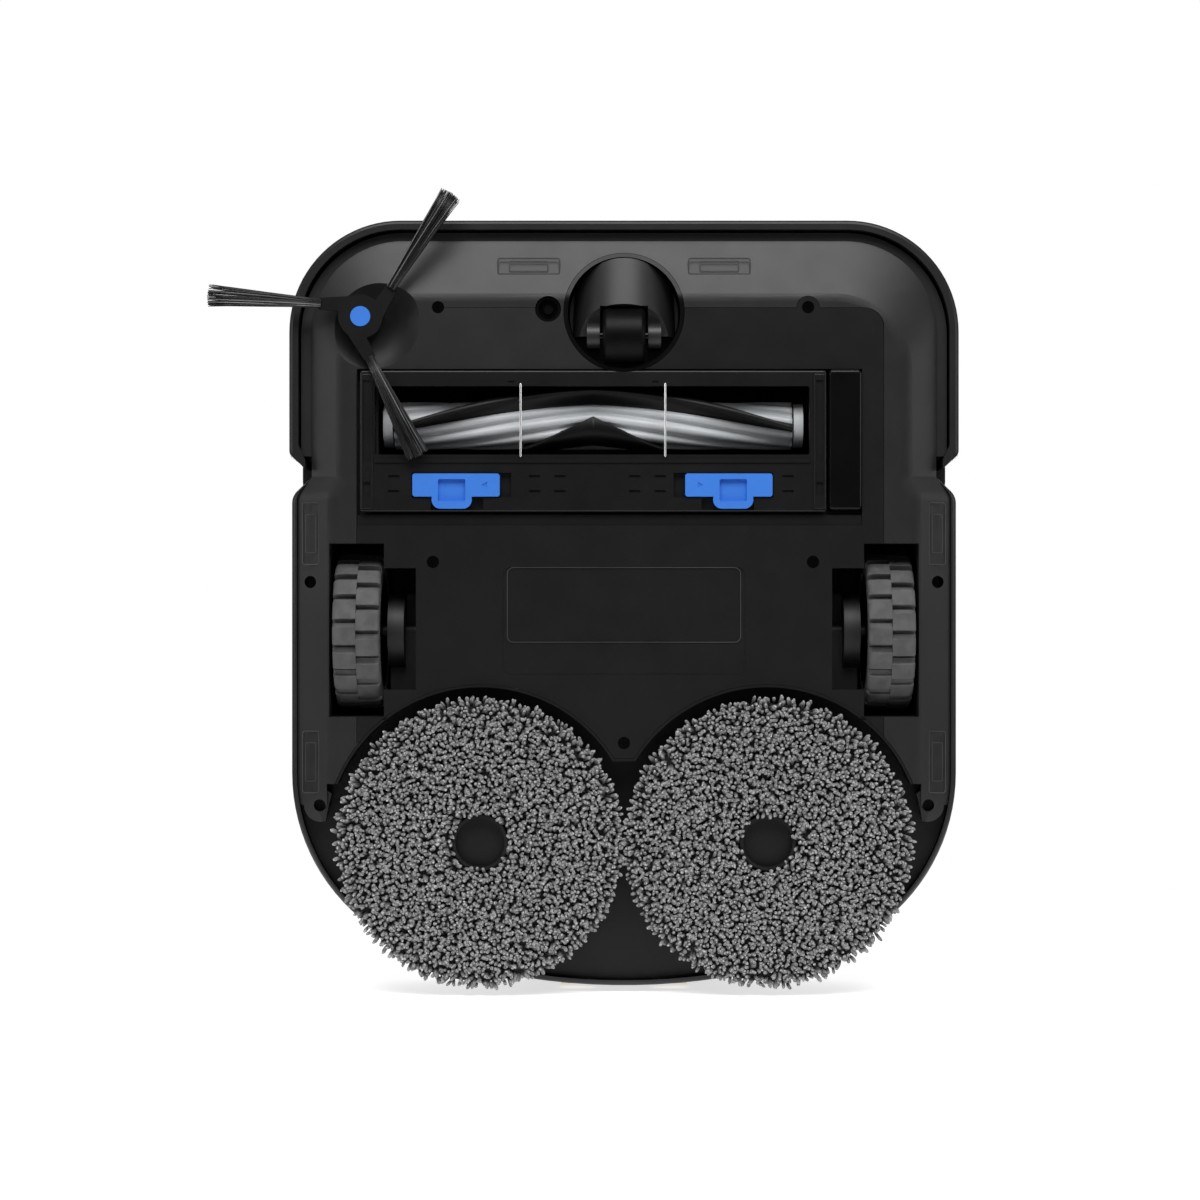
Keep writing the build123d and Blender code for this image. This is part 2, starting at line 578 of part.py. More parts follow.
def make_roller_caps():
    caps = []
    for x0, x1 in ((ROLLER_X0, ROLLER_X0 + 4.4), (ROLLER_X1 - 4.4, ROLLER_X1)):
        cap = rod(x0, x1, ROLLER_Y, ROLLER_Z, 10.4) - rod(x0 - 1, x1 + 1, ROLLER_Y, ROLLER_Z, 3.0)
        caps.append(cap)
    return caps


FIN_COUNT = 2
FIN_START = 192.0               # where the first fin stands at the middle of the roller
FIN_TWIST = 86.0                # how far a fin winds from the middle to each end
FIN_STEPS = 4
FIN_THICK = 2.2


def fin_section(x, angle):
    """Radial rectangle across the roller, turned about its axis."""
    reach = ROLLER_FIN_R - ROLLER_CORE_R
    turn = math.radians(angle)
    plane = Plane(origin=(x, ROLLER_Y, ROLLER_Z), x_dir=(0, math.cos(turn), math.sin(turn)), z_dir=(1, 0, 0))
    return plane * Pos(ROLLER_CORE_R + reach / 2 + 0.08, 0) * Rectangle(reach, FIN_THICK)


def make_roller_fins():
    """Rubber fins that meet in a V at the middle of the roller."""
    middle = (ROLLER_X0 + ROLLER_X1) / 2
    half = (ROLLER_X1 - ROLLER_X0) / 2 - 5.2
    fins = []
    for index in range(FIN_COUNT):
        start = FIN_START + 360.0 * index / FIN_COUNT
        for side in (-1, 1):
            sections = []
            for step in range(FIN_STEPS + 1):
                share = step / FIN_STEPS
                sections.append(fin_section(middle + side * (0.01 + share * half), start + share * FIN_TWIST))
            fins.append(loft(sections, ruled=True))
    return fins


# ---- caster and side brush -----------------------------------------------------------------------

SWIVEL_R = SOCKET_R - 0.7
HOOD_TILT = 75.5                # the hood's own axis, from upright: it rises towards the front
FORK_LUG = (11.4, 17.4)         # inner and outer face of each lug beside the wheel
LUG_R = 5.8
WHEEL_SLOT = 11.3
SWIVEL_TOP = 37.4


def make_caster_socket():
    """Round cup for the caster, trimmed flush with the underside."""
    cup = post(0, CASTER_Y, SOCKET_R + SOCKET_WALL, 0, 40.0) - post(0, CASTER_Y, SOCKET_R, 0, 38.0)
    cup &= skirt_solid(0) + block(-40, 40, -200, -110, SKIRT_Z + 1, 60)
    return cup - post(0, CASTER_Y, 5.0 + PIN_FIT, 0, 50)


def make_caster_swivel():
    """Carrier that turns in the socket: a sloping hood over the wheel and a lug on each side of it."""
    axle_y = CASTER_Y + CASTER_TRAIL
    ceiling = CASTER_R * 2 + 1.2
    column = post(0, CASTER_Y, SWIVEL_R, 0, SWIVEL_TOP)
    hood = (Pos(0, -142, 30) * Rot(HOOD_TILT, 0, 0) * Cylinder(24.5, 120)) & column
    hood &= block(-40, 40, -200, -100, 0, ceiling + 1)
    hood -= rod(-40, 40, axle_y, -1.0, 17.0)
    hood -= block(-40, 40, axle_y, axle_y + 40, 0, ceiling)
    swivel = hood + post(0, CASTER_Y, SWIVEL_R, ceiling, SWIVEL_TOP)
    swivel -= rod(-WHEEL_SLOT, WHEEL_SLOT, axle_y, CASTER_R, CASTER_R + 1.2)
    for side in (-1, 1):
        x0, x1 = sorted((side * FORK_LUG[0], side * FORK_LUG[1]))
        swivel += rod(x0, x1, axle_y, CASTER_R, LUG_R)
        swivel += block(x0, x1, axle_y - LUG_R, axle_y + LUG_R, CASTER_R, ceiling + 1)
    swivel += post(0, CASTER_Y, 5.0, 37.0, 44.0)
    return swivel - rod(-15, 15, axle_y, CASTER_R, 2.0)


def make_caster_wheel():
    axle_y = CASTER_Y + CASTER_TRAIL
    wheel = rod(-CASTER_WIDTH / 2, CASTER_WIDTH / 2, axle_y, CASTER_R, CASTER_R)
    wheel = fillet(wheel.edges(), 2.4)
    return wheel - rod(-20, 20, axle_y, CASTER_R, 2.0 + PIN_FIT)


ARM_OFFSET = 4.8                # each arm and its tuft pass the axis at this distance
ARM_END = 19.6
ARM_WIDTH = 5.4
HUB_PLATE = (6.4, 9.4)
HUB_BOSS_R = 10.4
CAP_R = 4.7
CAP_TOP = 8.2
TUFT_LEAN = -3.8                # degrees between the tuft and the direction of its tip


def brush_frame(angle):
    """Frame of one arm: x runs out along it and y is its distance from the axis."""
    return Pos(*SIDE_BRUSH, 0) * Rot(0, 0, angle + TUFT_LEAN)


def make_side_brush_hub():
    """Three-armed plate whose arms leave the round boss at a tangent, on a short spindle."""
    plan = Circle(HUB_BOSS_R)
    for angle in SIDE_BRUSH_ANGLES:
        near, far = ARM_OFFSET - ARM_WIDTH / 2, ARM_OFFSET + ARM_WIDTH / 2
        corners = ((ARM_END, far), (ARM_END, near), (9.0, near - 0.3), (0, 0), (0, 9.6), (3.0, 9.4))
        plan += Rot(0, 0, angle + TUFT_LEAN) * make_face(Polyline(*corners, close=True))
    hub = Pos(*SIDE_BRUSH, 0) * slab(plan, *HUB_PLATE)
    hub += post(*SIDE_BRUSH, HUB_BOSS_R, HUB_PLATE[1] - 0.1, 14.0)
    hub += post(*SIDE_BRUSH, 3.0, 13.0, 26.0)
    return hub - post(*SIDE_BRUSH, CAP_R, 0, CAP_TOP)


TUFT_SECTIONS = (               # distance out, width, lowest and highest point
    (ARM_END + 0.1, 4.4, 4.6, 7.4), (25.0, 4.8, 3.4, 5.7), (36.0, 5.6, 2.5, 5.0), (72.4, 10.6, 0.9, 3.2))


def make_side_brush_bristles():
    """One flat, widening tuft per arm, drooping to just above the floor."""
    tufts = []
    for angle in SIDE_BRUSH_ANGLES:
        sections = []
        for reach, width, low, high in TUFT_SECTIONS:
            plane = Plane(origin=(reach, ARM_OFFSET, (low + high) / 2), x_dir=(0, 1, 0), z_dir=(1, 0, 0))
            sections.append(plane * Rectangle(width, high - low))
        tufts.append(brush_frame(angle) * loft(sections, ruled=True))
    return tufts


def make_side_brush_motor():
    case = post(*SIDE_BRUSH, 12.0, 20.6, 50.0)
    return case - post(*SIDE_BRUSH, 3.0 + PIN_FIT, 0, 27.0)


# ---- drive units, built on the right and mirrored for the left -------------------------------------
def make_drive_well():
    x0, x1, y0, y1 = WHEEL_WELL
    g0, g1, h0, h1 = GEAR_WELL
    low = UNDER_Z + WALL + 3.0
    shell = block(x0 - 1, x1 + 1, y0 - 1, y1 + 1, low, 79.0)
    shell += block(g0 - 1, g1, h0 - 1, h1 + 1, low, 63.0)
    shell += block(x0, x0 + 2.0, y1, PIVOT_Y + 7.0, PIVOT_Z - 7.0, PIVOT_Z + 7.0)
    shell += block(g0 - 2.6, g0 - 0.6, h1, PIVOT_Y + 7.0, PIVOT_Z - 7.0, PIVOT_Z + 7.0)
    shell -= block(x0, x1, y0, y1, 0, 77.5)
    shell -= block(g0, g1 + 0.1, h0, h1, 0, 62.0)
    shell -= block(g0 + 0.2, g1 - 0.2, h1 - 1, h1 + 2, 18, 52)
    shell -= block(g0 - 2, g0 + 1, 2.0, 24.6, 30, 60.5)
    shell -= rod(g0 - 5, x0 + 5, PIVOT_Y, PIVOT_Z, 3.0 + PIN_FIT)
    return shell & block(80, 139.7, -80, 80, 0, 100)


DRUM_END = 104.3                # the lower half of the gear drum stops short of the well's wall
DRUM_NOTCH_TOP = 40.0


def make_drive_arm():
    """Gear case that carries the wheel axle and swings on the pivot pin."""
    g0, g1 = GEAR_WELL[0] + 1.0, GEAR_WELL[1] - 0.8
    arm = rod(g0, g1, 0, WHEEL_R, 18.0)
    arm -= block(0, DRUM_END, -FAR, FAR, 0, DRUM_NOTCH_TOP)
    arm += rod(g0, DRUM_END + 1.0, 0, WHEEL_R, 3.4)
    arm += block(g0, g1 - 0.6, 0, PIVOT_Y, PIVOT_Z - 6.0, PIVOT_Z + 6.0)
    arm += rod(g0, g1 - 0.6, PIVOT_Y, PIVOT_Z, 6.0)
    arm += rod(g1 - 0.5, g1 + 0.6, 0, WHEEL_R, 12.0)
    arm += rod(86.5, 114.6, PIVOT_Y, PIVOT_Z, 3.0)
    return arm + rod(g1 - 1, WHEEL_X + WHEEL_WIDTH / 2, 0, WHEEL_R, 3.0)


MOTOR_Y = 14.0
MOTOR_Z = 50.0


def make_drive_motor():
    can = rod(74.0, GEAR_WELL[0] + 1.0, MOTOR_Y, MOTOR_Z, 9.0)
    return can + rod(71.0, 74.0, MOTOR_Y, MOTOR_Z, 3.5)


HUB_R = 28.0


def make_drive_hub():
    x0, x1 = WHEEL_X - WHEEL_WIDTH / 2 + 0.8, WHEEL_X + WHEEL_WIDTH / 2 - 0.4
    hub = rod(x0, x1, 0, WHEEL_R, HUB_R)
    hub -= rod(x1 - 8.0, x1 + 1, 0, WHEEL_R, HUB_R - 3.0) - rod(x1 - 9.0, x1 + 2, 0, WHEEL_R, 7.0)
    for index in range(5):
        spoke = Pos((x0 + x1) / 2 + 7.0, 0, 15.5) * Box(7.0, 4.0, 20.0)
        hub += Pos(0, 0, WHEEL_R) * Rot(72.0 * index, 0, 0) * spoke
    return hub - rod(x0 - 5, x1 + 5, 0, WHEEL_R, 3.0 + PIN_FIT)


TREAD_BLOCKS = 19
TREAD_ROOT_R = 35.0
TREAD_BLOCK_ARC = 12.0          # degrees of each block


def tread_block(x0, x1, angle):
    """One lug of the tread, seen from the side as a ring sector with a sloped leading face."""
    corners = []
    for radius, turn in ((TREAD_ROOT_R - 0.6, angle - 7.4), (WHEEL_R, angle - 6.0),
                         (WHEEL_R, angle + TREAD_BLOCK_ARC - 6.0), (TREAD_ROOT_R - 0.6, angle + 6.4)):
        corners.append((radius * math.cos(math.radians(turn)), radius * math.sin(math.radians(turn))))
    plane = Plane(origin=(x0, 0, WHEEL_R), x_dir=(0, 1, 0), z_dir=(1, 0, 0))
    return extrude(plane * make_face(Polyline(*corners, close=True)), amount=x1 - x0)


def make_drive_tyre():
    x0, x1 = WHEEL_X - WHEEL_WIDTH / 2, WHEEL_X + WHEEL_WIDTH / 2
    tyre = rod(x0, x1, 0, WHEEL_R, TREAD_ROOT_R)
    pitch = 360.0 / TREAD_BLOCKS
    lugs = []
    for index in range(TREAD_BLOCKS):
        lugs.append(tread_block(x0, WHEEL_X + 0.05, index * pitch))
        lugs.append(tread_block(WHEEL_X - 0.05, x1, (index + 0.36) * pitch))
    tyre = tyre + lugs
    return tyre - rod(x0 - 1, x1 + 1, 0, WHEEL_R, HUB_R)


SPRING_R = 4.9
SPRING_WIRE = 0.7


def make_suspension_spring():
    """Torsion spring around the inner end of the pivot pin, with its fixed leg."""
    coil = Helix(pitch=1.7, height=6.8, radius=SPRING_R)
    start = coil @ 0
    profile = Plane(origin=start, z_dir=coil % 0) * Circle(SPRING_WIRE)
    wire = sweep(profile, path=coil)
    wire = Pos(87.2, PIVOT_Y, PIVOT_Z) * Rot(0, 90, 0) * wire
    return wire


# ---- mop drive ----------------------------------------------------------------------------------------
MOP_DISC_R = 62.0
PAD_THICK = 7.4
DISC_THICK = 2.2


def make_mop_disc(side):
    """Carrier disc with a hollow boss through the pad and a drive shaft above."""
    x = side * MOP_X
    disc = post(x, MOP_Y, MOP_DISC_R, PAD_THICK, PAD_THICK + DISC_THICK)
    disc += post(x, MOP_Y, MOP_HOLE_R - 0.5, 3.4, PAD_THICK + 1)
    disc -= post(x, MOP_Y, MOP_HOLE_R - 2.0, 0, PAD_THICK + DISC_THICK - 0.8)
    return disc + post(x, MOP_Y, MOP_SHAFT_R, PAD_THICK + DISC_THICK - 0.9, 41.0)


def make_mop_pad(side):
    x = side * MOP_X
    return post(x, MOP_Y, MOP_R, 0, PAD_THICK) - post(x, MOP_Y, MOP_HOLE_R, -1, PAD_THICK + 1)


def make_mop_lift_frame():
    """Carriage that holds both mop shafts and their gear train, and rises with them."""
    frame = soft_block(-88, 88, MOP_Y - 10.5, MOP_Y + 10.5, 30.0, 38.0, 8.0)
    frame += soft_block(-36, 36, MOP_Y - 14, MOP_Y + 13, 30.0, 50.0, 4.0)
    frame += rod(-50.0, -35.0, MOP_Y, 43.0, 8.0)
    for side in (-1, 1):
        frame -= post(side * MOP_X, MOP_Y, MOP_SHAFT_R + PIN_FIT, 0, 60)
    return frame


# ---- top and inner units ---------------------------------------------------------------------------------
LIDAR_Y = 80.0
LID_HINGE_Y = 24.6
LID_HINGE_Z = 84.7
BUTTON_X = 17.0
BUTTON_Y = -112.0
BUTTON_R = 7.8


def make_lidar_cap():
    """Low turret: a ring on the deck, four pillars and a domed lid over the spinning sensor."""
    ring = post(0, LIDAR_Y, 42.0, 86.1, 87.6) - post(0, LIDAR_Y, 38.0, 80, 90)
    lid = post(0, LIDAR_Y, 42.0, 94.4, 98.0)
    top_edges = lid.edges().filter_by_position(Axis.Z, 97.99, 98.01)
    lid = fillet(top_edges, 2.6)
    cap = ring + lid
    for index in range(4):
        x = 40.0 * math.cos(math.radians(45 + 90 * index))
        y = LIDAR_Y + 40.0 * math.sin(math.radians(45 + 90 * index))
        cap += post(x, y, 1.6, 87.0, 95.0)
    return cap


def make_lidar_spinner():
    drum = post(0, LIDAR_Y, 33.0, 84.2, 93.8)
    drum -= block(-9, 9, LIDAR_Y - 40, LIDAR_Y - 26, 87.5, 92.5)
    return drum + post(0, LIDAR_Y, 3.0, 82.4, 85.0)


def make_top_lid():
    lid = soft_block(-98, 98, -72, 26.0, 83.5, DECK_TOP, 9.6)
    for x0, x1 in ((-100.2, -88.0), (88.0, 100.2)):
        lid += rod(x0, x1, LID_HINGE_Y, LID_HINGE_Z, 1.2)
    return lid - soft_block(-18, 18, -70.0, -62.0, 85.2, 90, 3.0)


def make_button(x):
    cap = post(x, BUTTON_Y, BUTTON_R, 83.4, 86.6)
    cap = fillet(cap.edges().filter_by_position(Axis.Z, 86.59, 86.61), 0.8)
    return cap + post(x, BUTTON_Y, 2.5, 74.0, 84.0)


DUST_BIN = (-88.0, 88.0, -60.0, 1.0)


def make_dust_bin():
    tub = soft_block(*DUST_BIN, 30.0, 80.0, 5.0)
    tub -= soft_block(DUST_BIN[0] + 2, DUST_BIN[1] - 2, DUST_BIN[2] + 2, DUST_BIN[3] - 2, 32.0, 90, 3.0)
    tub -= block(-30, 30, -70, -50, 35.8, 46.2)
    return tub - block(-48, 48, -4, 10, 40, 72)


def make_dust_filter():
    frame = block(-54, 54, -8.6, -1.2, 36, 76)
    for index in range(12):
        x = -48.0 + 8.7 * index
        frame -= block(x - 2.4, x + 2.4, -10, -3.4, 40, 72)
    return frame


def make_suction_fan():
    volute = post(0, 42.0, 26.0, 30.0, 58.0) + post(0, 42.0, 15.0, 58.0, 66.0)
    return volute + block(-12, 12, 1.4, 30, 42, 56)


def make_battery():
    pack = soft_block(-80, 80, 62, 118, 61.0, 80.0, 6.0)
    return pack


def make_main_board():
    board = soft_block(-84, 84, -132, -66, 54.0, 55.6, 3.0)
    for x, y, wide, deep, high in ((-40, -100, 26, 26, 2.4), (20, -96, 16, 16, 2.0), (55, -112, 12, 20, 3.0),
                                   (-70, -80, 12, 30, 6.0), (66, -80, 22, 8, 7.0)):
        board += block(x - wide / 2, x + wide / 2, y - deep / 2, y + deep / 2, 55.5, 55.6 + high)
    return board


def make_water_tank():
    """Hollow tank that fills the tail, above the mop deck."""
    tank = slab(outline(6.0, 130.0, -150.0, 40.0), 29.0, 58.0) & block(-100, 100, 121, 200, 0, 100)
    inner = slab(outline(8.0, 128.0, -148.0, 38.0), 31.0, 56.0) & block(-98, 98, 123, 200, 0, 100)
    notch = block(-18, 18, 110, 140, 0, 100)
    notch_wall = block(-20, 20, 110, 142, 0, 100)
    return (tank - notch) - (inner - notch_wall)


def make_mop_lift_motor():
    return block(-15, 15, 118, 136, 28, 50) + post(0, 127, 8.0, 50, 58)


def make_charging_contacts():
    plates = []
    for side in (-1, 1):
        x0, x1 = sorted((side * 14.0, side * 30.0))
        plates.append(block(x0, x1, 164.8, 167.9, 30.0, 38.0))
    return plates


def make_carpet_sensor():
    barrel = post(*CARPET_SENSOR, SENSOR_R, 12.0, 24.0)
    return barrel - post(*CARPET_SENSOR, SENSOR_R - 1.3, 0, 18.0) + post(*CARPET_SENSOR, 2.2, 14.0, 18.5)


# ---- write every sub-part ----------------------------------------------------------------------------------
def write_all():
    os.makedirs("parts", exist_ok=True)
    save("chassis_base", make_chassis())
    save("cliff_windows", *make_windows())
    save("cliff_sensors", *make_cliff_sensors())
    save("bottom_plate", make_bottom_plate())
    save("plate_screws", *[screw(x, y, SCREW_WELL_TOP - 1.7, 8.0) for x, y in PLATE_SCREWS])
    deep_screws = []
    for x, y in DEEP_HOLES:
        top = DEEP_BOSS_TOP if y < 0 else MOP_DECK_Z
        deep_screws.append(screw(x, y, top - 5.0, 7.0))
    save("housing_screws", *deep_screws)
    save("mop_deck", make_mop_deck())
    save("side_housing", make_side_housing())
    save("top_deck", make_top_deck())
    save("bumper", make_bumper())
    save("bumper_window", make_bumper_window())
    save("brush_bay", make_brush_bay())
    save("brush_gearbox", make_brush_gearbox())
    save("brush_motor", make_brush_motor())
    save("brush_guard", make_brush_guard())
    save("guard_wires", *make_guard_wires())
    for side, (end_x, way) in LATCHES.items():
        save(f"latch_{side}", make_latch(end_x, way))
    save("roller_core", make_roller_core())
    save("roller_caps", *make_roller_caps())
    save("roller_fins", *make_roller_fins())
    save("caster_socket", make_caster_socket())
    save("caster_swivel", make_caster_swivel())
    save("caster_axle", rod(-14.6, 14.6, CASTER_Y + CASTER_TRAIL, CASTER_R, 2.0))
    save("caster_wheel", make_caster_wheel())
    save("side_brush_hub", make_side_brush_hub())
    save("side_brush_cap", post(*SIDE_BRUSH, CAP_R, HUB_PLATE[0] - 0.3, CAP_TOP))
    save("side_brush_bristles", *make_side_brush_bristles())
    save("side_brush_motor", make_side_brush_motor())
    drive_parts = {
        "drive_well": make_drive_well(), "drive_arm": make_drive_arm(), "drive_motor": make_drive_motor(),
        "drive_hub": make_drive_hub(), "drive_tyre": make_drive_tyre(),
        "suspension_spring": make_suspension_spring(),
    }
    for name, shape in drive_parts.items():
        save(f"{name}_right", shape)
        save(f"{name}_left", mirror(shape, about=Plane.YZ))
    for side, sign in (("left", -1), ("right", 1)):
        save(f"mop_disc_{side}", make_mop_disc(sign))
        save(f"mop_pad_{side}", make_mop_pad(sign))
    save("mop_lift_frame", make_mop_lift_frame())
    save("mop_lift_motor", make_mop_lift_motor())
    save("lidar_cap", make_lidar_cap())
    save("lidar_spinner", make_lidar_spinner())
    save("top_lid", make_top_lid())
    save("power_button", make_button(-BUTTON_X))
    save("home_button", make_button(BUTTON_X))
    save("dust_bin", make_dust_bin())
    save("dust_filter", make_dust_filter())
    save("suction_fan", make_suction_fan())
    save("battery_pack", make_battery())
    save("main_board", make_main_board())
    save("water_tank", make_water_tank())
    save("charging_contacts", *make_charging_contacts())
    save("carpet_sensor", make_carpet_sensor())


write_all()
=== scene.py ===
import json
import math

import bmesh
import bpy
import numpy as np
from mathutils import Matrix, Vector


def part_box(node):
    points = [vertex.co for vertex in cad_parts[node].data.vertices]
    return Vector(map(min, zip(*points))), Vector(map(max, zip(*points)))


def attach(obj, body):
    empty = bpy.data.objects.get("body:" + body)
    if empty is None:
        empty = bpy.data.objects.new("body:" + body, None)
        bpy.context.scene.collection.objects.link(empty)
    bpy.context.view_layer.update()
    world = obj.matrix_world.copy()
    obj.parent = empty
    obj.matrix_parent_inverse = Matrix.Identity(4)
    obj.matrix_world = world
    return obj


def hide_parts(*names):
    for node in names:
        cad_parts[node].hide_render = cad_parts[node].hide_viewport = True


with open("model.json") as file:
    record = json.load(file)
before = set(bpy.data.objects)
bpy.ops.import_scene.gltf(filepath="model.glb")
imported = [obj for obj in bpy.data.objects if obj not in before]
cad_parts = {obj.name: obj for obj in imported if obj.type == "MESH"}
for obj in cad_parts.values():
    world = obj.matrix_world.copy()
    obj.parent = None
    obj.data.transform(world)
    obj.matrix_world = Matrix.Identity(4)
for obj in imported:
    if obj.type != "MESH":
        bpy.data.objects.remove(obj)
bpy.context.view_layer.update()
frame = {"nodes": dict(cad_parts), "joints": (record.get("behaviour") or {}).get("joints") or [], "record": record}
nodes = frame["nodes"]
joints = {joint["name"]: joint for joint in frame["joints"]}
MM = 0.001


# ---- shader writing --------------------------------------------------------------------------
class Val:
    """A shader value that can stand in a Python expression."""

    def __init__(self, paint, socket):
        self.paint = paint
        self.socket = socket

    def math(self, operation, first, second=None):
        values = {0: first}
        if second is not None:
            values[1] = second
        return self.paint.node("ShaderNodeMath", {"operation": operation}, values)

    def __add__(self, other):
        return self.math("ADD", self, other)

    def __radd__(self, other):
        return self.math("ADD", other, self)

    def __sub__(self, other):
        return self.math("SUBTRACT", self, other)

    def __rsub__(self, other):
        return self.math("SUBTRACT", other, self)

    def __mul__(self, other):
        return self.math("MULTIPLY", self, other)

    def __rmul__(self, other):
        return self.math("MULTIPLY", other, self)

    def __pow__(self, other):
        return self.math("POWER", self, other)


class Paint:
    """One material: a Principled shader and the nodes that feed it."""

    def __init__(self, name):
        self.material = bpy.data.materials.new(name)
        self.material.use_nodes = True
        self.tree = self.material.node_tree
        self.tree.nodes.clear()
        self.shader = self.tree.nodes.new("ShaderNodeBsdfPrincipled")
        self.output = self.tree.nodes.new("ShaderNodeOutputMaterial")
        self.tree.links.new(self.shader.outputs[0], self.output.inputs["Surface"])

    def node(self, kind, settings=None, values=None, output=0):
        """A node of this kind, with its settings made first and its sockets given a value or a link."""
        made = self.tree.nodes.new(kind)
        for key, setting in (settings or {}).items():
            if key == "stops":
                self.set_stops(made.color_ramp, setting)
            else:
                setattr(made, key, setting)
        for key, value in (values or {}).items():
            self.feed(made.inputs[key], value)
        return Val(self, made.outputs[output])

    def set_stops(self, ramp, stops):
        while len(ramp.elements) < len(stops):
            ramp.elements.new(1.0)
        for element, (place, shade) in zip(ramp.elements, stops):
            element.position = place
            element.color = shade if len(shade) == 4 else (*shade, 1.0)

    def feed(self, socket, value):
        if isinstance(value, Val):
            self.tree.links.new(value.socket, socket)
        else:
            socket.default_value = value

    def set(self, **values):
        """Sockets of the main shader, with underscores for spaces."""
        for key, value in values.items():
            self.feed(self.shader.inputs[key.replace("_", " ")], value)

    def place(self):
        return self.node("ShaderNodeTexCoord", output="Object")

    def noise(self, size, detail=2.0, where=None, roughness=0.5):
        """Noise whose features are about size metres across."""
        values = {"Vector": where or self.place(), "Scale": 1.0 / size,
                  "Detail": detail, "Roughness": roughness}
        return self.node("ShaderNodeTexNoise", {}, values)

    def ramp(self, factor, *stops):
        return self.node("ShaderNodeValToRGB", {"stops": stops}, {"Fac": factor})

    def mix(self, factor, first, second):
        """Two colours mixed."""
        return self.node("ShaderNodeMix", {"data_type": "RGBA"}, {0: factor, 6: first, 7: second}, output=2)

    def bump(self, height, depth, strength=1.0, under=None):
        values = {"Height": height, "Distance": depth, "Strength": strength}
        if under is not None:
            values["Normal"] = under
        return self.node("ShaderNodeBump", {}, values)


def rgb(shade, warm=0.0):
    return (shade * (1 + warm), shade, shade * (1 - warm), 1.0)


def clouded(paint, dark, light, size=0.03):
    """A colour that drifts gently over the surface, with a finer mottling in it."""
    broad = paint.noise(size, 3.0)
    fine = paint.noise(size * 0.04, 2.0)
    factor = paint.ramp(broad * 0.7 + fine * 0.3, (0.35, (0, 0, 0)), (0.65, (1, 1, 1)))
    return paint.mix(factor, dark, light)


def moulded(name, shade, rough, grain=0.00035, depth=0.00003, spread=0.22, coat=0.0, shine=0.5,
            tint=(1.0, 1.0, 1.03)):
    """Moulded plastic with a spark-eroded grain, faint flow marks and uneven gloss."""
    paint = Paint(name)
    dark = (*(shade * (1 - spread) * t for t in tint), 1.0)
    light = (*(shade * (1 + spread) * t for t in tint), 1.0)
    grain_noise = paint.noise(grain, 3.0, roughness=0.6)
    gloss_noise = paint.noise(0.012, 3.0)
    paint.set(Base_Color=clouded(paint, dark, light),
              Roughness=rough + (gloss_noise - 0.5) * 0.10 + (grain_noise - 0.5) * 0.08,
              Normal=paint.bump(grain_noise, depth),
              Coat_Weight=coat, Coat_Roughness=0.12, Specular_IOR_Level=shine)
    return paint.material


def metal(name, shade, rough, tint=(1.0, 1.0, 1.0), streak=(1, 60, 1)):
    """Metal with fine drawn lines along one way and a little tarnish."""
    paint = Paint(name)
    stretched = paint.node("ShaderNodeVectorMath", {"operation": "MULTIPLY"}, {0: paint.place(), 1: streak})
    lines = paint.noise(0.004, 4.0, where=stretched)
    dark = (*(shade * 0.82 * t for t in tint), 1.0)
    light = (*(shade * 1.08 * t for t in tint), 1.0)
    paint.set(Base_Color=paint.mix(lines, dark, light), Metallic=1.0,
              Roughness=rough + (lines - 0.5) * 0.18, Normal=paint.bump(lines, 0.00001))
    return paint.material


def elastomer(name, shade, rough, shine=0.5, tint=(1.0, 1.0, 1.0)):
    """Rubber: matt, faintly dusty in random patches, with a skin of fine pits."""
    paint = Paint(name)
    pits = paint.node("ShaderNodeTexVoronoi", {}, {"Vector": paint.place(), "Scale": 1 / 0.0007})
    bloom = paint.noise(0.006, 4.0)
    dark = (*(shade * 0.85 * t for t in tint), 1.0)
    light = (*(shade * 1.22 * t for t in tint), 1.0)
    paint.set(Base_Color=paint.mix(paint.ramp(bloom, (0.4, (0, 0, 0)), (0.62, (1, 1, 1))), dark, light),
              Roughness=rough + (bloom - 0.5) * 0.16,
              Normal=paint.bump(pits, 0.00003, 0.6), Specular_IOR_Level=shine)
    return paint.material


def smoked(name, shade, rough):
    """Infrared-clear smoked plastic: dark, polished, with a slow drift in its depth."""
    paint = Paint(name)
    drift = paint.noise(0.008, 2.0)
    paint.set(Base_Color=paint.mix(drift, rgb(shade * 0.6), rgb(shade * 1.4, -0.03)),
              Roughness=rough + (drift - 0.5) * 0.05, Specular_IOR_Level=0.35)
    return paint.material


def chenille(name):
    """Microfibre loops: each has its own grey, with painted shade darkening it towards the root and a painted
    highlight speckle at the tip.
    """
    paint = Paint(name)
    tone = paint.node("ShaderNodeAttribute", {"attribute_name": "tone"}, output="Fac")
    tip = paint.node("ShaderNodeAttribute", {"attribute_name": "tip"}, output="Fac")
    nap = paint.noise(0.0007, 3.0, roughness=0.75)
    yarn = paint.ramp(tone, (0.0, (0.07, 0.07, 0.073)), (0.5, (0.22, 0.22, 0.225)),
                      (1.0, (0.56, 0.56, 0.57)))
    # painted highlight: a speckle of pale and dark greys, mixed in towards the tip of each loop
    tip_highlight_speckle = paint.ramp(nap, (0.36, (0.06, 0.06, 0.064)), (0.5, (0.30, 0.30, 0.305)),
                       (0.62, (0.95, 0.95, 0.96)))
    # painted shade: each loop turns near-black at its root, where the loops shade one another
    root_shaded_yarn = paint.mix(tip, (0.012, 0.012, 0.013, 1.0), yarn)
    paint.set(Base_Color=paint.mix(tip * tip * tip * 0.85, root_shaded_yarn, tip_highlight_speckle), Roughness=0.9 + (nap - 0.5) * 0.1,
              Normal=paint.bump(nap, 0.0009), Sheen_Weight=0.2, Sheen_Roughness=0.5)
    return paint.material


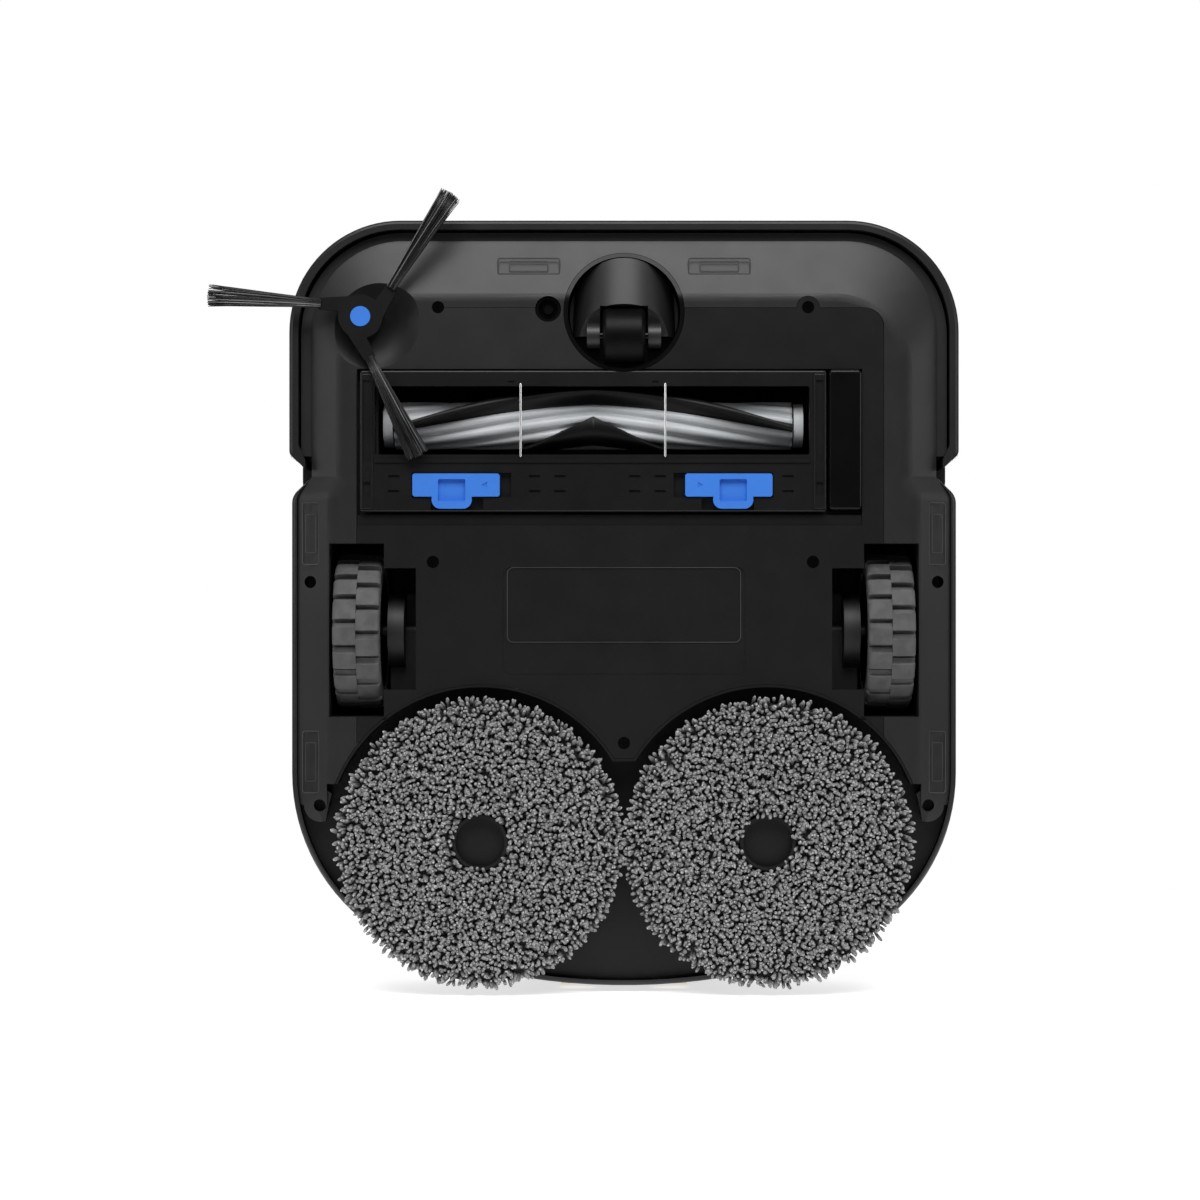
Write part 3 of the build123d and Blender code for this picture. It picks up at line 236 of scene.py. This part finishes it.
def nylon(name):
    """Bristle nylon: every strand has its own near-black shade, and the few palest strands are painted glints."""
    paint = Paint(name)
    tone = paint.node("ShaderNodeAttribute", {"attribute_name": "tone"}, output="Fac")
    streak = paint.noise(0.004, 2.0)
    # painted glint: the pale top of the ramp makes a few strands look as if they catch the light
    shade = paint.ramp(tone, (0.0, (0.003, 0.003, 0.0035)), (0.6, (0.009, 0.009, 0.010)),
                       (0.86, (0.035, 0.035, 0.037)), (1.0, (0.30, 0.30, 0.31)))
    paint.set(Base_Color=paint.mix(streak * 0.4, shade, (0.02, 0.02, 0.022, 1.0)),
              Roughness=0.36 + (streak - 0.5) * 0.2, Specular_IOR_Level=0.4)
    return paint.material


def board(name):
    """Solder mask over copper tracks."""
    paint = Paint(name)
    tracks = paint.node("ShaderNodeTexBrick", {"offset": 0.5},
                        {"Vector": paint.place(), "Scale": 160.0, "Mortar Size": 0.03,
                         "Color1": (0.01, 0.09, 0.035, 1), "Color2": (0.015, 0.12, 0.05, 1),
                         "Mortar": (0.03, 0.2, 0.08, 1)})
    paint.set(Base_Color=tracks, Roughness=0.35 + paint.noise(0.004) * 0.15, Coat_Weight=0.4)
    return paint.material


def pleated(name):
    """Filter paper with fibres in it."""
    paint = Paint(name)
    fibres = paint.noise(0.0007, 5.0)
    paint.set(Base_Color=paint.mix(fibres, (0.55, 0.55, 0.5, 1), (0.82, 0.82, 0.78, 1)), Roughness=0.95,
              Normal=paint.bump(fibres, 0.0001))
    return paint.material


MATERIALS = {
    "chassis_black": moulded("chassis_black", 0.013, 0.42, spread=0.12, shine=0.42),
    "hood_black": moulded("hood_black", 0.014, 0.46, depth=0.00001, spread=0.10),
    "plate_black": moulded("plate_black", 0.0055, 0.42, spread=0.12, shine=0.3),
    "shell_black": moulded("shell_black", 0.010, 0.40, shine=0.45),
    "deck_black": moulded("deck_black", 0.016, 0.33, coat=0.25),
    "bumper_black": moulded("bumper_black", 0.010, 0.40, shine=0.4),
    "bay_black": moulded("bay_black", 0.006, 0.55),
    "guard_black": moulded("guard_black", 0.0045, 0.36, shine=0.35),
    "gloss_black": moulded("gloss_black", 0.0015, 0.30, depth=0.00001, shine=0.2),
    "caster_black": elastomer("caster_black", 0.0015, 0.45, shine=0.12),
    "disc_black": moulded("disc_black", 0.004, 0.5, shine=0.3),
    "tinted_window": smoked("tinted_window", 0.016, 0.40),
    "bin_smoke": smoked("bin_smoke", 0.09, 0.2),
    "signal_blue": moulded("signal_blue", 0.43, 0.38, depth=0.00002, spread=0.05, tint=(0.10, 0.46, 1.62)),
    "roller_grey": moulded("roller_grey", 0.50, 0.42, spread=0.06, tint=(0.97, 1.0, 1.03)),
    "rubber_black": elastomer("rubber_black", 0.003, 0.45, shine=0.22),
    "bristle_black": nylon("bristle_black"),
    "tyre_grey": elastomer("tyre_grey", 0.074, 0.68, tint=(1.0, 1.0, 1.03)),
    "chenille_grey": chenille("chenille_grey"),
    # painted shade: the screws' near-black steel stands in for the shade of the deep bosses they sit in
    "screw_steel": metal("screw_steel", 0.02, 0.22),
    "wire_bright": metal("wire_bright", 0.9, 0.18),
    "motor_steel": metal("motor_steel", 0.45, 0.35),
    "contact_brass": metal("contact_brass", 0.7, 0.25, tint=(1.0, 0.85, 0.55)),
    "battery_wrap": moulded("battery_wrap", 0.08, 0.3, tint=(0.5, 0.9, 1.6)),
    "board_green": board("board_green"),
    "filter_paper": pleated("filter_paper"),
    "button_grey": moulded("button_grey", 0.05, 0.3, coat=0.3),
}

for part in frame["record"]["subparts"]:
    cad = nodes[part["node"]]
    cad.data.materials.clear()
    cad.data.materials.append(MATERIALS[part["material_slot"]])


# ---- mesh tools ------------------------------------------------------------------------------
def new_piece(name, points, faces, body, slot, replaced=(), smooth=True):
    """A mesh piece made from points and faces, riding on a body."""
    mesh = bpy.data.meshes.new(name)
    mesh.from_pydata([tuple(point) for point in points], [], [tuple(face) for face in faces])
    mesh.validate()
    mesh.materials.append(MATERIALS[slot])
    solid = bmesh.new()
    solid.from_mesh(mesh)
    bmesh.ops.recalc_face_normals(solid, faces=solid.faces)
    solid.to_mesh(mesh)
    solid.free()
    if smooth:
        mesh.shade_smooth()
    piece = bpy.data.objects.new(name, mesh)
    bpy.context.scene.collection.objects.link(piece)
    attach(piece, body)
    if replaced:
        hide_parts(*replaced)
    return piece


def ring_faces(rings, around, closed=True):
    """Quads between neighbouring rings of points; a closed set joins its last ring to its first."""
    faces = []
    for ring in range(rings if closed else rings - 1):
        here = ring * around
        after = (ring + 1) % rings * around
        for index in range(around):
            beside = (index + 1) % around
            faces.append((here + index, here + beside, after + beside, after + index))
    return faces


def tubes(centres, frames_u, frames_v, radii, sides):
    """Closed tubes, many at once. centres is (tube, ring, 3), radii is (tube, ring)."""
    count, rings = radii.shape
    turn = np.linspace(0, 2 * math.pi, sides, endpoint=False)
    circle = (np.cos(turn)[None, None, :, None] * frames_u[:, :, None, :]
              + np.sin(turn)[None, None, :, None] * frames_v[:, :, None, :])
    points = centres[:, :, None, :] + circle * radii[:, :, None, None]
    ring, side = np.meshgrid(np.arange(rings - 1), np.arange(sides), indexing="ij")
    beside = (side + 1) % sides
    quad = np.stack([ring * sides + side, ring * sides + beside,
                     (ring + 1) * sides + beside, (ring + 1) * sides + side], axis=-1).reshape(-1, 4)
    offsets = np.arange(count)[:, None, None] * rings * sides
    quads = (quad[None] + offsets).reshape(-1, 4).tolist()
    ends = np.arange(sides)
    for index in range(count):
        start = index * rings * sides
        quads.append((start + ends[::-1]).tolist())
        quads.append((start + (rings - 1) * sides + ends).tolist())
    return points.reshape(-1, 3), quads


def side_frames(directions):
    """Two unit vectors square to each direction."""
    guide = np.where(np.abs(directions[..., 2:3]) > 0.9, np.array([1.0, 0, 0]), np.array([0, 0, 1.0]))
    across = np.cross(guide, directions)
    across /= np.linalg.norm(across, axis=-1, keepdims=True)
    return across, np.cross(directions, across)


# ---- mop pads --------------------------------------------------------------------------------
NOODLE_PITCH = 1.72 * MM
NOODLE_R = 0.84 * MM


def mop_pad(side, seed):
    """Chenille pad: thousands of short loops, made as an inner and an outer band."""
    draw = np.random.default_rng(seed)
    low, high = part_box(f"mop_pad_{side}")
    centre = (low + high) / 2
    outer = (high.x - low.x) / 2
    inner = 13.5 * MM
    spots = []
    rows = int((outer - inner) / (NOODLE_PITCH * 0.87))
    for row in range(rows + 1):
        radius = inner + 1.0 * MM + (outer - inner - 2.6 * MM) * row / rows
        count = int(2 * math.pi * radius / NOODLE_PITCH)
        start = draw.random() * 2 * math.pi
        spots += [(radius, start + 2 * math.pi * index / count) for index in range(count)]
    spots = np.array(spots)
    split = (inner + outer) * 0.58
    for band, chosen in (("inner", spots[:, 0] < split), ("outer", spots[:, 0] >= split)):
        noodles(f"chenille_{side}_{band}", side, draw, spots[chosen], centre, (inner, outer, low.z, high.z))


def noodles(name, side, draw, spots, centre, limits):
    """Loops rooted at these spots. They stand up from the cloth and splay out at the rim and the hole."""
    inner, outer, lowest, cloth = limits
    count = len(spots)
    radius = spots[:, 0] + draw.normal(0, 0.35 * MM, count)
    angle = spots[:, 1] + draw.normal(0, 0.4 * MM, count) / radius
    out = np.stack([np.cos(angle), np.sin(angle), np.zeros(count)], axis=1)
    around = np.stack([-np.sin(angle), np.cos(angle), np.zeros(count)], axis=1)
    root = out * radius[:, None] + np.array([centre.x, centre.y, cloth - 1.9 * MM])
    rim = np.clip((radius - (outer - 8 * MM)) / (6 * MM), 0, 1) ** 1.4
    hole = np.clip((inner + 4 * MM - radius) / (4 * MM), 0, 1)
    lean_out = draw.normal(0.0, 0.34, count) + rim * 0.75 - hole * 0.2
    lean_round = draw.normal(0.0, 0.36, count)
    way = out * lean_out[:, None] + around * lean_round[:, None] + np.array([0, 0, -1.0])
    way /= np.linalg.norm(way, axis=1, keepdims=True)
    length = draw.uniform(3.7, 5.5, count) * MM
    reach = np.array([0.0, 0.42, 0.78, 0.95, 1.0])
    rings = len(reach)
    sway = (out * draw.normal(0, 0.55, count)[:, None] + around * draw.normal(0, 0.55, count)[:, None]) * MM
    centres = (root[:, None, :] + way[:, None, :] * (length[:, None] * reach)[:, :, None]
               + sway[:, None, :] * (reach ** 2)[None, :, None])
    centres[:, :, 2] = np.maximum(centres[:, :, 2], lowest + 0.2 * MM)
    plump = draw.uniform(0.8, 1.15, count) * NOODLE_R
    radii = plump[:, None] * np.array([0.75, 1.0, 1.04, 0.66, 0.14])
    u, v = side_frames(way)
    sides = 6
    u = np.repeat(u[:, None], rings, 1)
    v = np.repeat(v[:, None], rings, 1)
    points, faces = tubes(centres, u, v, radii, sides)
    points[:, 2] = np.clip(points[:, 2], lowest + 0.02 * MM, cloth)
    pad = new_piece(name, points, faces, f"{side}_mop", "chenille_grey", [f"mop_pad_{side}"])
    write_attribute(pad, "tone", np.repeat(draw.beta(1.7, 2.0, count), rings * sides))
    # tip runs from 0 at the root to 1 at the end of each loop and places the painted root shade and tip highlights
    write_attribute(pad, "tip", np.tile(np.repeat(reach ** 1.5, sides), count))


def write_attribute(piece, name, values):
    layer = piece.data.attributes.new(name, "FLOAT", "POINT")
    layer.data.foreach_set("value", np.asarray(values, dtype=np.float32))


def backing_cloth(side):
    """Thin felt ring that carries the loops, with a bound edge."""
    low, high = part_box(f"mop_pad_{side}")
    centre = (low + high) / 2
    outer = (high.x - low.x) / 2 - 1.6 * MM
    inner = 14.2 * MM
    top = high.z - 0.05 * MM
    profile = (                                         # radius and depth below the disc
        (inner, 2.1), (inner + 0.8 * MM, 2.5), (outer - 1.2 * MM, 2.5), (outer, 1.9),
        (outer, 0.5), (outer - 0.8 * MM, 0.0), (inner + 0.8 * MM, 0.0), (inner, 0.4),
    )
    steps = 96
    points = []
    for radius, depth in profile:
        for step in range(steps):
            turn = 2 * math.pi * step / steps
            points.append((centre.x + radius * math.cos(turn), centre.y + radius * math.sin(turn),
                           top - depth * MM))
    faces = ring_faces(len(profile), steps)
    cloth = new_piece(f"pad_backing_{side}", points, faces, f"{side}_mop", "chenille_grey")
    # with tip at 0 the backing takes the near-black painted shade of the loop roots, whatever its tone
    write_attribute(cloth, "tone", np.full(len(points), 0.18))
    write_attribute(cloth, "tip", np.zeros(len(points)))


for pad_side, pad_seed in (("left", 11), ("right", 23)):
    mop_pad(pad_side, pad_seed)
    backing_cloth(pad_side)


# ---- side brush ------------------------------------------------------------------------------
BRUSH_ANGLES = (-52.8, 67.2, 187.2)
TUFT_LEAN = -3.8
ARM_OFFSET = 4.8
ARM_END = 19.6
TUFT_LENGTH = 52.8


def bristle_tufts():
    """Three tufts of nylon bristles that fan out and droop towards the floor."""
    draw = np.random.default_rng(5)
    axis = np.array(joints["side_brush_spin"]["pos_m"])
    per_tuft = 110
    reach = np.linspace(0, 1, 7)
    lines = []
    for angle in BRUSH_ANGLES:
        turn = math.radians(angle + TUFT_LEAN)
        out = np.array([math.cos(turn), math.sin(turn), 0])
        across = np.array([-math.sin(turn), math.cos(turn), 0])
        for index in range(per_tuft):
            place = draw.uniform(-1, 1)
            layer = draw.uniform(-1, 1)
            length = TUFT_LENGTH - 2.6 * draw.random() ** 2 - 0.8 * abs(place)
            spread = place * (2.0 + 3.1 * reach ** 1.15) + draw.normal(0, 0.3) * reach ** 2
            spread += 0.25 * np.sin(reach * draw.uniform(3, 7) + draw.uniform(0, 2 * math.pi)) * reach
            height = 6.2 - 4.2 * (1 - (1 - reach) ** 2.6) + layer * 1.0
            line = (axis * (1, 1, 0) + out * ((ARM_END - 0.8 + length * reach) * MM)[:, None]
                    + across * ((ARM_OFFSET + spread) * MM)[:, None])
            line[:, 2] = np.clip(height, 1.15, 7.3) * MM
            lines.append(line)
    centres = np.array(lines)
    ways = np.gradient(centres, axis=1)
    ways /= np.linalg.norm(ways, axis=-1, keepdims=True)
    u, v = side_frames(ways)
    radii = np.tile(np.array([0.24, 0.24, 0.24, 0.23, 0.22, 0.20, 0.14]) * MM, (len(lines), 1))
    points, faces = tubes(centres, u, v, radii, 5)
    bristles = new_piece("side_bristles", points, faces, "side_brush", "bristle_black",
                         ["side_brush_bristles"])
    # tone also picks out the few strands that carry the painted glint
    write_attribute(bristles, "tone", np.repeat(draw.random(len(lines)), points.shape[0] // len(lines)))


bristle_tufts()


# ---- main roller -----------------------------------------------------------------------------
ROLLER_TWIST = 86.0
FIN_ANGLE = 192.0
ROLLER_STATIONS = 60
RIBS = 10
RIB_PROFILE = (                 # radius and share of one rib's pitch
    (9.3, 0.0), (9.1, 0.14), (10.0, 0.30), (11.1, 0.38), (11.3, 0.6), (11.1, 0.86), (10.4, 0.93))
TWIST_EASE = 1.12               # above 1 the V is blunter at the middle
WEDGE_HALF = 33 * MM
ROLLER_HALF = (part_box("roller_fins")[1].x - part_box("roller_fins")[0].x) / 2


def helical(name, section_at, slot, half, replaced=()):
    """An outline in (radius, degrees) swept along the roller, so that it makes a V at the middle."""
    centre = joints["roller_spin"]["pos_m"]
    middle = (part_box("roller_caps")[0].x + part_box("roller_caps")[1].x) / 2
    shares = np.linspace(-1, 1, 2 * ROLLER_STATIONS + 1)
    rings = []
    for share in shares:
        section = np.array(section_at(abs(share)), dtype=float)
        turn = np.radians(section[:, 1] + (abs(share) * half / ROLLER_HALF) ** TWIST_EASE * ROLLER_TWIST)
        radius = section[:, 0] * MM
        rings.append(np.stack([np.full(len(section), middle + share * half),
                               centre[1] + radius * np.cos(turn), centre[2] + radius * np.sin(turn)], axis=1))
    count = len(rings[0])
    faces = ring_faces(len(rings), count, closed=False)
    faces.append(tuple(range(count))[::-1])
    faces.append(tuple(range((len(shares) - 1) * count, len(shares) * count)))
    return new_piece(name, np.concatenate(rings), faces, "main_roller", slot, replaced)


def ribbed_core(share):
    """Pale core with broad ribs that run beside the fins, and deep grooves between them."""
    section = []
    for rib in range(RIBS):
        for radius, part in RIB_PROFILE:
            section.append((radius, FIN_ANGLE + 360.0 * (rib + part) / RIBS))
    return section


def blade(angle):
    """Fin section: thick at the foot, slim above, with a small bead along its edge."""
    side = [(10.6, 11.0), (12.0, 6.5), (14.6, 4.0), (16.8, 3.0), (17.4, 3.8), (18.0, 3.0)]

    def section(share):
        wide = 1.0 + 0.9 * (1.0 - share)
        outline = [(radius, angle - spread * wide) for radius, spread in side]
        return outline + [(radius, angle + spread * wide) for radius, spread in reversed(side)]

    return section


def wedge(angle):
    """Black patch at the middle of the roller, with a pointed front."""
    def section(share):
        first = angle + 60 + 52 * share
        last = angle + 128
        return [(10.4, first), (12.9, first + 1.0), (13.4, first + 3),
                (13.4, last - 3), (12.9, last - 1), (10.4, last)]
    return section


helical("roller_ribs", ribbed_core, "roller_grey", ROLLER_HALF, ["roller_core"])
for blade_index, blade_angle in enumerate((FIN_ANGLE, FIN_ANGLE + 180)):
    helical(f"roller_blade_{blade_index}", blade(blade_angle), "rubber_black", ROLLER_HALF, ["roller_fins"])
    helical(f"roller_wedge_{blade_index}", wedge(blade_angle), "rubber_black", WEDGE_HALF)


# ---- tyres -----------------------------------------------------------------------------------
TREAD_BLOCKS = 19
BLOCK_PROFILE = (               # share of one block's pitch and height over its face, in mm
    (0.0, -3.2), (0.11, -3.2), (0.12, -2.2), (0.30, -1.5),
    (0.31, -0.2), (0.33, 0.0), (0.98, 0.0), (0.99, -0.3))
ACROSS = ((0.0, -1.3), (0.06, -0.5), (0.16, -0.12), (0.5, 0.0))       # crown: share of a row, drop
ROW_SHIFT = 0.45                # the two rows of blocks are this much of a pitch apart
TYRE_BORE = 28.1 * MM


def tyre(side):
    """Two rows of stepped tread blocks, half a pitch apart."""
    low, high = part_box(f"drive_tyre_{side}")
    centre = (low + high) / 2
    outer = (high.z - low.z) / 2
    for row in (0, 1):
        x_edge = low.x if row == 0 else high.x
        across = [(x_edge + (centre.x - x_edge) * share, drop) for share, drop in ACROSS]
        across.append((centre.x, 0.0))
        angles = []
        for block in range(TREAD_BLOCKS):
            for part, lift in BLOCK_PROFILE:
                angles.append((2 * math.pi * (block + part + ROW_SHIFT * row) / TREAD_BLOCKS, lift))
        points = []
        for turn, lift in angles:
            ring = [(x_edge, TYRE_BORE)]
            ring += [(x, outer + (lift + drop) * MM) for x, drop in across]
            ring.append((centre.x, TYRE_BORE))
            for x, radius in ring:
                points.append((x, radius * math.sin(-turn), centre.z + radius * math.cos(turn)))
        faces = ring_faces(len(angles), len(across) + 2)
        piece = new_piece(f"tread_{side}_{row}", points, faces, f"{side}_wheel", "tyre_grey",
                          [f"drive_tyre_{side}"], smooth=False)
        bevel = piece.modifiers.new("soft", "BEVEL")
        bevel.width = 0.18 * MM
        bevel.segments = 2
        bevel.limit_method = "ANGLE"
        piece.modifiers.new("facets", "WEIGHTED_NORMAL").keep_sharp = True


for tyre_side in ("left", "right"):
    tyre(tyre_side)


# ---- painted highlight lines round the windows and the blank label panel ---------------------
WINDOWS = (                     # centre and size of each downward window
    (-44.9, -172.3, 29.6, 8.0), (44.9, -172.3, 29.6, 8.0),
    (-147.6, -46.3, 8.2, 29.6), (147.6, -46.3, 8.2, 29.6),
    (-147.6, 61.3, 8.2, 29.6), (147.6, 61.3, 8.2, 29.6),
)
LABEL_PANEL = (0.0, -12.7, 110.0, 35.4)
EDGE_HEIGHT = 0.12
RECEIVER_SHARE = 0.62           # size of the receiver beside its window


def rounded_loop(x, y, wide, deep, corner, height, steps=4):
    """Points round a rounded rectangle, all in millimetres."""
    points = []
    for turn, sx, sy in ((0, 1, 1), (90, -1, 1), (180, -1, -1), (270, 1, -1)):
        for step in range(steps + 1):
            angle = math.radians(turn + 90 * step / steps)
            points.append((x + sx * (wide / 2 - corner) + corner * math.cos(angle),
                           y + sy * (deep / 2 - corner) + corner * math.sin(angle), height))
    return points


def edge_frame(x, y, wide, deep, corner, width, low):
    """Points and faces of a thin raised line round a rounded rectangle."""
    points = []
    for inset, height in ((0, low + EDGE_HEIGHT), (0, low), (width, low), (width, low + EDGE_HEIGHT)):
        points += rounded_loop(x, y, wide - 2 * inset, deep - 2 * inset, corner - inset, height)
    return points, ring_faces(4, len(points) // 4)


def painted_rim_highlights():
    """Pale lines round every window and its receiver, and round the blank panel, painted as highlights on their
    rims.
    """
    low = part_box("cliff_windows")[0].z / MM
    outlines = [(*LABEL_PANEL, 3.0, 0.35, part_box("bottom_plate")[0].z / MM - EDGE_HEIGHT / 2)]
    for x, y, wide, deep in WINDOWS:
        outlines.append((x, y, wide, deep, 1.4, 0.55, low - EDGE_HEIGHT / 2))
        outlines.append((x, y, RECEIVER_SHARE * wide, RECEIVER_SHARE * deep, 0.6, 0.3,
                         low - EDGE_HEIGHT / 2))
    points, faces = [], []
    for outline in outlines:
        more_points, more_faces = edge_frame(*outline)
        faces += [tuple(len(points) + index for index in face) for face in more_faces]
        points += more_points
    # the pale button_grey frames are painted highlights along the rims
    new_piece("painted_rim_highlights", np.array(points) * MM, faces, "root", "button_grey", smooth=False)


painted_rim_highlights()


# ---- stage, light and camera -----------------------------------------------------------------
def stage_floor():
    """Pale sheet under the machine's tail that fades out at its edge and is clear from behind."""
    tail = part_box("side_housing")[1].y + 0.0006
    reach = 1.6
    mesh = bpy.data.meshes.new("floor")
    corners = [(-reach, tail, -reach), (reach, tail, -reach), (reach, tail, reach), (-reach, tail, reach)]
    mesh.from_pydata(corners, [], [(0, 1, 2, 3)])
    paint = Paint("pale_floor")
    grain = paint.noise(0.05, 3.0)
    paint.set(Base_Color=paint.mix(grain, (0.60, 0.60, 0.61, 1), (0.64, 0.64, 0.64, 1)), Roughness=0.9,
              Emission_Color=(1, 1, 1, 1), Emission_Strength=0.66)
    clear = paint.node("ShaderNodeBsdfTransparent")
    behind = paint.node("ShaderNodeNewGeometry", output="Backfacing")
    distance = paint.node("ShaderNodeVectorMath", {"operation": "LENGTH"}, {0: paint.place()},
                          output="Value")
    fade = paint.node("ShaderNodeMapRange", {"interpolation_type": "SMOOTHSTEP"},
                      {"Value": distance, "From Min": 0.30, "From Max": 0.62})
    hidden = paint.node("ShaderNodeMath", {"operation": "MAXIMUM"}, {0: behind, 1: fade})
    surface = Val(paint, paint.shader.outputs[0])
    both = paint.node("ShaderNodeMixShader", {}, {0: hidden, 1: surface, 2: clear})
    paint.feed(paint.output.inputs["Surface"], both)
    mesh.materials.append(paint.material)
    floor = bpy.data.objects.new("floor", mesh)
    bpy.context.scene.collection.objects.link(floor)


def area_light(name, place, aim, size, power, shade=(1, 1, 1)):
    light = bpy.data.lights.new(name, "AREA")
    light.shape = "RECTANGLE"
    light.size, light.size_y = size
    light.energy = power
    light.color = shade
    lamp = bpy.data.objects.new(name, light)
    lamp.location = place
    lamp.rotation_euler = (Vector(aim) - Vector(place)).to_track_quat("-Z", "Y").to_euler()
    bpy.context.scene.collection.objects.link(lamp)


def studio_world():
    """White to look at, dimmer as a light, so that black plastic stays black."""
    world = bpy.data.worlds.new("studio")
    world.use_nodes = True
    tree = world.node_tree
    tree.nodes.clear()
    seen = tree.nodes.new("ShaderNodeBackground")
    seen.inputs["Color"].default_value = (1, 1, 1, 1)
    lighting = tree.nodes.new("ShaderNodeBackground")
    lighting.inputs["Color"].default_value = (0.93, 0.96, 1.0, 1)
    lighting.inputs["Strength"].default_value = 0.10
    path = tree.nodes.new("ShaderNodeLightPath")
    both = tree.nodes.new("ShaderNodeMixShader")
    output = tree.nodes.new("ShaderNodeOutputWorld")
    tree.links.new(path.outputs["Is Camera Ray"], both.inputs[0])
    tree.links.new(lighting.outputs[0], both.inputs[1])
    tree.links.new(seen.outputs[0], both.inputs[2])
    tree.links.new(both.outputs[0], output.inputs["Surface"])
    bpy.context.scene.world = world


def camera():
    """Looks straight at the underside, with the bumper at the top of the view."""
    eye = bpy.data.cameras.new("camera")
    eye.lens = 83.0
    eye.sensor_width = 36.0
    eye.shift_x = -0.02
    view = bpy.data.objects.new("camera", eye)
    view.location = (0.0, -0.015, -1.29)
    view.rotation_euler = (math.pi, 0.0, 0.0)
    bpy.context.scene.collection.objects.link(view)
    bpy.context.scene.camera = view


stage_floor()
studio_world()
area_light("key", (0.0, -1.25, -0.95), (0.0, -0.05, 0.0), (1.5, 0.8), 27)
area_light("side_left", (-1.4, -0.3, -0.30), (0, 0, 0.02), (0.4, 1.2), 4)
area_light("side_right", (1.4, -0.3, -0.30), (0, 0, 0.02), (0.4, 1.2), 4)
area_light("above", (0.0, -0.3, 1.5), (0, 0, 0.05), (1.6, 1.2), 26)
area_light("behind", (0.0, 1.3, 0.8), (0, 0, 0.05), (1.4, 0.8), 12)
camera()
bpy.context.scene.view_settings.view_transform = "Standard"
